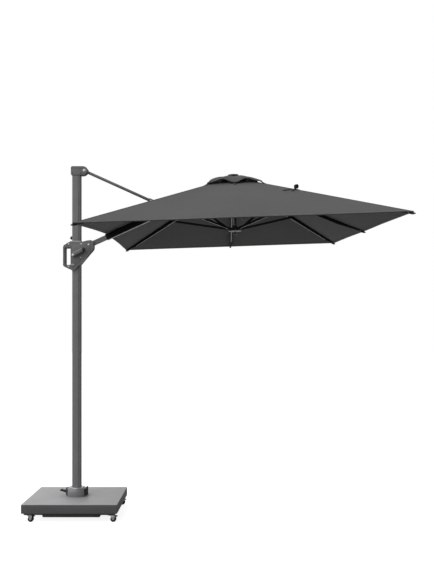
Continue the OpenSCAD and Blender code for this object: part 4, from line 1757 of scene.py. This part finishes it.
        # The underside takes the darker copy of the cloth: painted shade under the canopy.
        area = make.sheet(30, 24, place, down * self.cloth, 0, 1, hole)
        panel = make.piece("canopy_panel_" + side.label, self.body(side), [self.paint.fabric, self.paint.shade_painted_cloth],
                           ("canopy_skin",), "fabric", 60.0)
        trim = self.trimming(side, down)
        width = (place(1, 0) - place(1, 1)).length
        ends = [place(0, 0), place(0, 1), place(1, 0), place(1, 1), place(1, 0.5)]
        along = (place(1, 0.5) - place(0, 0.5)).normalized()
        for piece in (panel, trim):
            self.fold(piece, side, self.kept)

    def trimming(self, side: Side, down: Vector) -> bpy.types.Object:
        """The hem, the ridge seam, the stitches and the pocket of one panel.

        Args:
            side: the line.
            down: the direction under the cloth.

        Returns:
            The trimming piece.
        """
        make = Maker()
        middle = float(side.value)
        x, y = self.rim_point(side.value)
        reach = math.hypot(x, y)

        def hem(a: float, b: float) -> Vector:
            """A point of the turned hem at the rim."""
            return self.on_cloth(1.0 - self.hem * (1 - a) / 1.2, middle - 0.5 + b, 0.0012)

        make.sheet(3, 24, hem, down * (self.cloth + 0.0024), 0, 0)
        for edge in (0.2, 0.8):
            def stitch(a: float, b: float, edge: float = edge) -> Vector:
                """A point of a stitch line along the hem."""
                share = 1.0 - self.hem * edge / 1.2 + self.thread * (a - 0.5)
                return self.on_cloth(share, middle - 0.5 + b, 0.0018)

            make.sheet(1, 24, stitch, down * 0.0008, 1, 1)
        start = self.opening
        seams = ((self.seam, 0.0013, 0), (0.001, 0.0019, 1)) if side.value % 2 else ()
        for width, above, paint in seams:
            for off in ((0.0,) if paint == 0 else (-self.tape_edge, self.tape_edge)):
                def ridge(a: float, b: float, width: float = width, off: float = off,
                          above: float = above) -> Vector:
                    """A point of the seam along the ridge."""
                    share = start + (0.995 - start) * a
                    return self.beside(side, share, off + width * (2 * b - 1), above)

                make.sheet(26, 4 if paint == 0 else 1, ridge, down * 0.0012, paint, paint)

        if side is not Side.ARM:
            def pocket(a: float, b: float) -> Vector:
                """A point of the rib's pocket under the rim."""
                share = 1 - (0.006 + 0.075 * (1 - a)) / reach
                wide = 0.034 - 0.012 * (1 - a)
                return self.beside(side, share, wide * (2 * b - 1), -self.cloth - 0.0004)

            make.sheet(6, 6, pocket, down * 0.0018, 0, 0)
            for step in range(4 if side is Side.OUT else 2):
                def band(a: float, b: float, step: int = step) -> Vector:
                    """A point of a sewn band across the pocket."""
                    share = 1 - (0.014 + 0.017 * step + 0.007 * (1 - a)) / reach
                    return self.beside(side, share, 0.024 * (2 * b - 1), -self.cloth - 0.0022)

                make.sheet(1, 6, band, down * 0.0009, 2, 2)
        else:
            self.slit_edge(make, down)
        return make.piece("canopy_trim_" + side.label, self.body(side),
                          [self.paint.hem, self.paint.tape, self.paint.webbing, self.paint.tape], (), "fabric",
                          60.0)

    def slit_edge(self, make: Maker, down: Vector) -> None:
        """The binding round the slit that the strut goes through.

        Args:
            make: where the binding is made.
            down: the direction under the cloth.
        """
        x0, x1, y0, y1 = self.slit
        wide = self.binding
        for low_x, high_x, low_y, high_y in ((x0 - wide, x1 + wide, y1, y1 + wide),
                                             (x0 - wide, x1 + wide, y0 - wide, y0),
                                             (x0 - wide, x0, y0, y1), (x1, x1 + wide, y0, y1)):
            def binding(a: float, b: float, box: tuple[float, float, float, float] = (low_x, high_x, low_y,
                                                                                      high_y)) -> Vector:
                """A point of the binding."""
                px, py = box[0] + (box[1] - box[0]) * a, box[2] + (box[3] - box[2]) * b
                return self.places.crown @ Vector((px, py, self.height(*self.spread(px, py)) + 0.0014))

            make.sheet(12, 3, binding, down * (self.cloth + 0.0022), 2, 2)

    def vent_panel(self, side: Side) -> None:
        """One panel of the raised vent, with its hem and its tie.

        Args:
            side: the line that it is tied to.
        """
        middle = float(side.value)
        down = self.places.crown.to_3x3() @ Vector((0, 0, -1))
        span = self.vent_end - self.vent_start

        def place(a: float, b: float) -> Vector:
            """A point of the vent panel."""
            return self.on_vent(self.vent_start + span * a, middle - 0.5 + b)

        make = Maker()
        # The underside takes the darker copy of the cloth: painted shade under the vent.
        area = make.sheet(14, 16, place, down * 0.0022, 0, 1)
        panel = make.piece("vent_panel_" + side.label, self.body(side), [self.paint.fabric, self.paint.shade_painted_cloth],
                           ("canopy_vent",), "fabric", 60.0, self.drape(side))
        make = Maker()

        def hem(a: float, b: float) -> Vector:
            """A point of the vent's hem."""
            return self.on_vent(self.vent_end - 0.013 * (1 - a), middle - 0.5 + b, 0.001)

        make.sheet(2, 16, hem, down * 0.0044, 0, 0)

        def ridge(a: float, b: float) -> Vector:
            """A point of the vent's ridge seam."""
            x, y = self.rim_point(side.value)
            reach = math.hypot(x, y)
            share = self.vent_start + 0.006 + (span - 0.008) * a
            off = 0.007 * (2 * b - 1)
            return (self.on_vent(share, middle, 0.0012)
                    + self.places.crown.to_3x3() @ Vector((-y / reach * off, x / reach * off, 0)))

        make.sheet(10, 2, ridge, down * 0.0014, 0, 0)

        def tie(a: float, b: float) -> Vector:
            """A point of the strap that ties the vent down."""
            x, y = self.rim_point(side.value)
            reach = math.hypot(x, y)
            share = self.vent_end - 0.012 + 0.034 * a
            top = self.vent_height(min(share, self.vent_end), middle)
            height = top + (self.height(share, middle) + 0.003 - top) * min(1.0, a * 1.6)
            off = 0.009 * (2 * b - 1)
            return self.places.crown @ Vector((x * share - y / reach * off, y * share + x / reach * off,
                                               max(height, self.height(share, middle) + 0.0025)))

        make.sheet(8, 2, tie, down * 0.0014, 1, 1)
        trim = make.piece("vent_trim_" + side.label, self.body(side), [self.paint.hem, self.paint.webbing], (),
                          "fabric", 60.0, self.drape(side))
        width = (place(1, 0) - place(1, 1)).length
        along = (place(1, 0.5) - place(0, 0.5)).normalized()
        reach = [place(a, b).dot(along) for a, b in ((0, 0), (0, 1), (1, 0), (1, 1), (1, 0.5), (0, 0.5))]

    def strap(self) -> None:
        """The closing strap on a corner ridge, with its standing loop and two tails."""
        side = Side.NEAR_OUT
        share = 0.740 / math.hypot(self.half_l, self.half_w)
        make = Maker()
        down = self.places.crown.to_3x3() @ Vector((0, 0, -1))
        reach = math.hypot(self.half_l, self.half_w)

        def patch(a: float, b: float) -> Vector:
            """A point of the sewn patch."""
            return self.beside(side, share + (0.05 * a - 0.016) / reach, 0.012 * (2 * b - 1), 0.0034)

        make.sheet(6, 4, patch, down * 0.0016, 0, 0)
        for length, slant in ((0.085, -0.03), (0.06, 0.035)):
            def tail(a: float, b: float, length: float = length, slant: float = slant) -> Vector:
                """A point of a strap's tail on the cloth."""
                off = -(0.006 + length * a)
                lift = 0.004 + 0.003 * math.sin(math.pi * a)
                return self.beside(side, share + (0.02 * (b - 0.5) + slant * a) / reach, off, lift)

            make.sheet(8, 2, tail, down * 0.0014, 0, 0)
        foot = self.beside(side, share + 0.004 / reach, 0.0, 0.0195)
        x, y = self.rim_point(side.value)
        across = self.places.crown.to_3x3() @ Vector((x, y, 0)).normalized()
        ring = [(0.0092, -0.011), (0.0112, -0.011), (0.0112, 0.011), (0.0092, 0.011), (0.0092, -0.011)]
        verts = make.lathe(ring, (0, 0, 0), across, 32)
        bmesh.ops.transform(make.bm, verts=verts,
                            matrix=Matrix.Translation(foot) @ Matrix.Diagonal((1.05, 1.05, 1.35, 1.0)))
        make.piece("closing_strap_loop", "rib_near_out", [self.paint.webbing], ("closing_strap",), "webbing")


# ---------------------------------------------------------------------------------------------------------
# Studio
# ---------------------------------------------------------------------------------------------------------


@dataclass
class Studio:
    """A plain pale floor, soft even light and the camera."""

    camera_at: Point = (0.103, -6.144, 1.34)
    lens: float = 50.0
    sensor: float = 36.0
    shift: tuple[float, float] = (0.0086, 0.0812)
    sky: float = 0.95
    key: float = 0.7

    def build(self) -> None:
        """Set up the whole studio."""
        self.world()
        self.lamps()
        self.floor()
        self.camera()

    def world(self) -> None:
        """An even pale surrounding."""
        world = bpy.data.worlds.new("studio")
        world.use_nodes = True
        tree = world.node_tree
        tree.nodes.clear()
        out = tree.nodes.new("ShaderNodeOutputWorld")
        mix = tree.nodes.new("ShaderNodeMixShader")
        soft = tree.nodes.new("ShaderNodeBackground")
        plain = tree.nodes.new("ShaderNodeBackground")
        path = tree.nodes.new("ShaderNodeLightPath")
        soft.inputs["Strength"].default_value = self.sky
        where = tree.nodes.new("ShaderNodeTexCoord")
        parts = tree.nodes.new("ShaderNodeSeparateXYZ")
        ramp = tree.nodes.new("ShaderNodeValToRGB")
        lift = tree.nodes.new("ShaderNodeMapRange")
        lift.inputs["From Min"].default_value = -1.0
        tree.links.new(where.outputs["Generated"], parts.inputs[0])
        tree.links.new(parts.outputs["Z"], lift.inputs["Value"])
        tree.links.new(lift.outputs["Result"], ramp.inputs["Fac"])
        shade = tree.nodes.new("ShaderNodeMapRange")
        shade.inputs["From Min"].default_value = -0.5
        shade.inputs["From Max"].default_value = 0.7
        shade.inputs["To Min"].default_value = 1.15
        shade.inputs["To Max"].default_value = 0.3
        level = tree.nodes.new("ShaderNodeVectorMath")
        level.operation = "SCALE"
        tree.links.new(parts.outputs["X"], shade.inputs["Value"])
        tree.links.new(shade.outputs["Result"], level.inputs["Scale"])
        tree.links.new(ramp.outputs["Color"], level.inputs[0])
        tree.links.new(level.outputs["Vector"], soft.inputs["Color"])
        steps = ramp.color_ramp.elements
        steps[0].position, steps[0].color = 0.48, (0.45, 0.45, 0.45, 1)
        steps[1].position, steps[1].color = 1.0, (1.2, 1.2, 1.2, 1)
        middle = steps.new(0.56)
        middle.color = (1.0, 1.0, 1.0, 1)
        plain.inputs["Strength"].default_value = 1.0
        plain.inputs["Color"].default_value = (1, 1, 1, 1)
        tree.links.new(path.outputs["Is Camera Ray"], mix.inputs[0])
        tree.links.new(soft.outputs[0], mix.inputs[1])
        tree.links.new(plain.outputs[0], mix.inputs[2])
        tree.links.new(mix.outputs[0], out.inputs["Surface"])
        bpy.context.scene.world = world
        bpy.context.scene.view_settings.view_transform = "Standard"

    def lamps(self) -> None:
        """A wide soft key light from above and in front."""
        lamp = bpy.data.lights.new("key", "SUN")
        lamp.energy = self.key
        lamp.angle = math.radians(60)
        thing = bpy.data.objects.new("key", lamp)
        thing.rotation_euler = (math.radians(30), math.radians(-28), 0)
        bpy.context.scene.collection.objects.link(thing)

    def floor(self) -> None:
        """A wide pale floor."""
        mix = Recipe("pale floor")
        mix.put("Base Color", (0.42, 0.42, 0.42, 1))
        mix.put("Roughness", 0.9)
        mix.put("Specular IOR Level", 0.1)
        glow = mix.tree.nodes.new("ShaderNodeEmission")
        glow.inputs["Strength"].default_value = 0.88
        both = mix.tree.nodes.new("ShaderNodeAddShader")
        chosen = mix.tree.nodes.new("ShaderNodeMixShader")
        path = mix.tree.nodes.new("ShaderNodeLightPath")
        mix.join(mix.shader.outputs["BSDF"], both.inputs[0])
        mix.join(glow.outputs["Emission"], both.inputs[1])
        mix.join(path.outputs["Is Camera Ray"], chosen.inputs[0])
        mix.join(mix.shader.outputs["BSDF"], chosen.inputs[1])
        mix.join(both.outputs["Shader"], chosen.inputs[2])
        mix.join(chosen.outputs["Shader"], mix.output.inputs["Surface"])
        make = Maker()
        bmesh.ops.create_grid(make.bm, x_segments=2, y_segments=2, size=60.0)
        mesh = bpy.data.meshes.new("floor")
        make.bm.to_mesh(mesh)
        make.bm.free()
        mesh.materials.append(mix.material)
        thing = bpy.data.objects.new("floor", mesh)
        bpy.context.scene.collection.objects.link(thing)

    def camera(self) -> None:
        """The camera, level, at the height of the mast's middle."""
        lens = bpy.data.cameras.new("camera")
        lens.lens = self.lens
        lens.sensor_width = self.sensor
        lens.sensor_fit = "AUTO"
        lens.shift_x, lens.shift_y = self.shift
        lens.clip_end = 200.0
        thing = bpy.data.objects.new("camera", lens)
        thing.location = self.camera_at
        thing.rotation_euler = (math.radians(90), 0, 0)
        bpy.context.scene.collection.objects.link(thing)
        bpy.context.scene.camera = thing


def main() -> None:
    """Build the whole parasol and its studio."""
    logging.basicConfig(level=logging.INFO, format="%(name)s: %(message)s")
    paint = Finishes()
    places = Places(FRAME)
    Studio().build()
    for part in (Base(places, paint), Mast(places, paint), Carriage(places, paint), ArmAndStrut(places, paint),
                 CanopyFrame(places, paint), CanopyCover(places=places, paint=paint)):
        LOG.info("building %s", type(part).__name__)
        part.build()


if __name__ == "__main__":
    main()
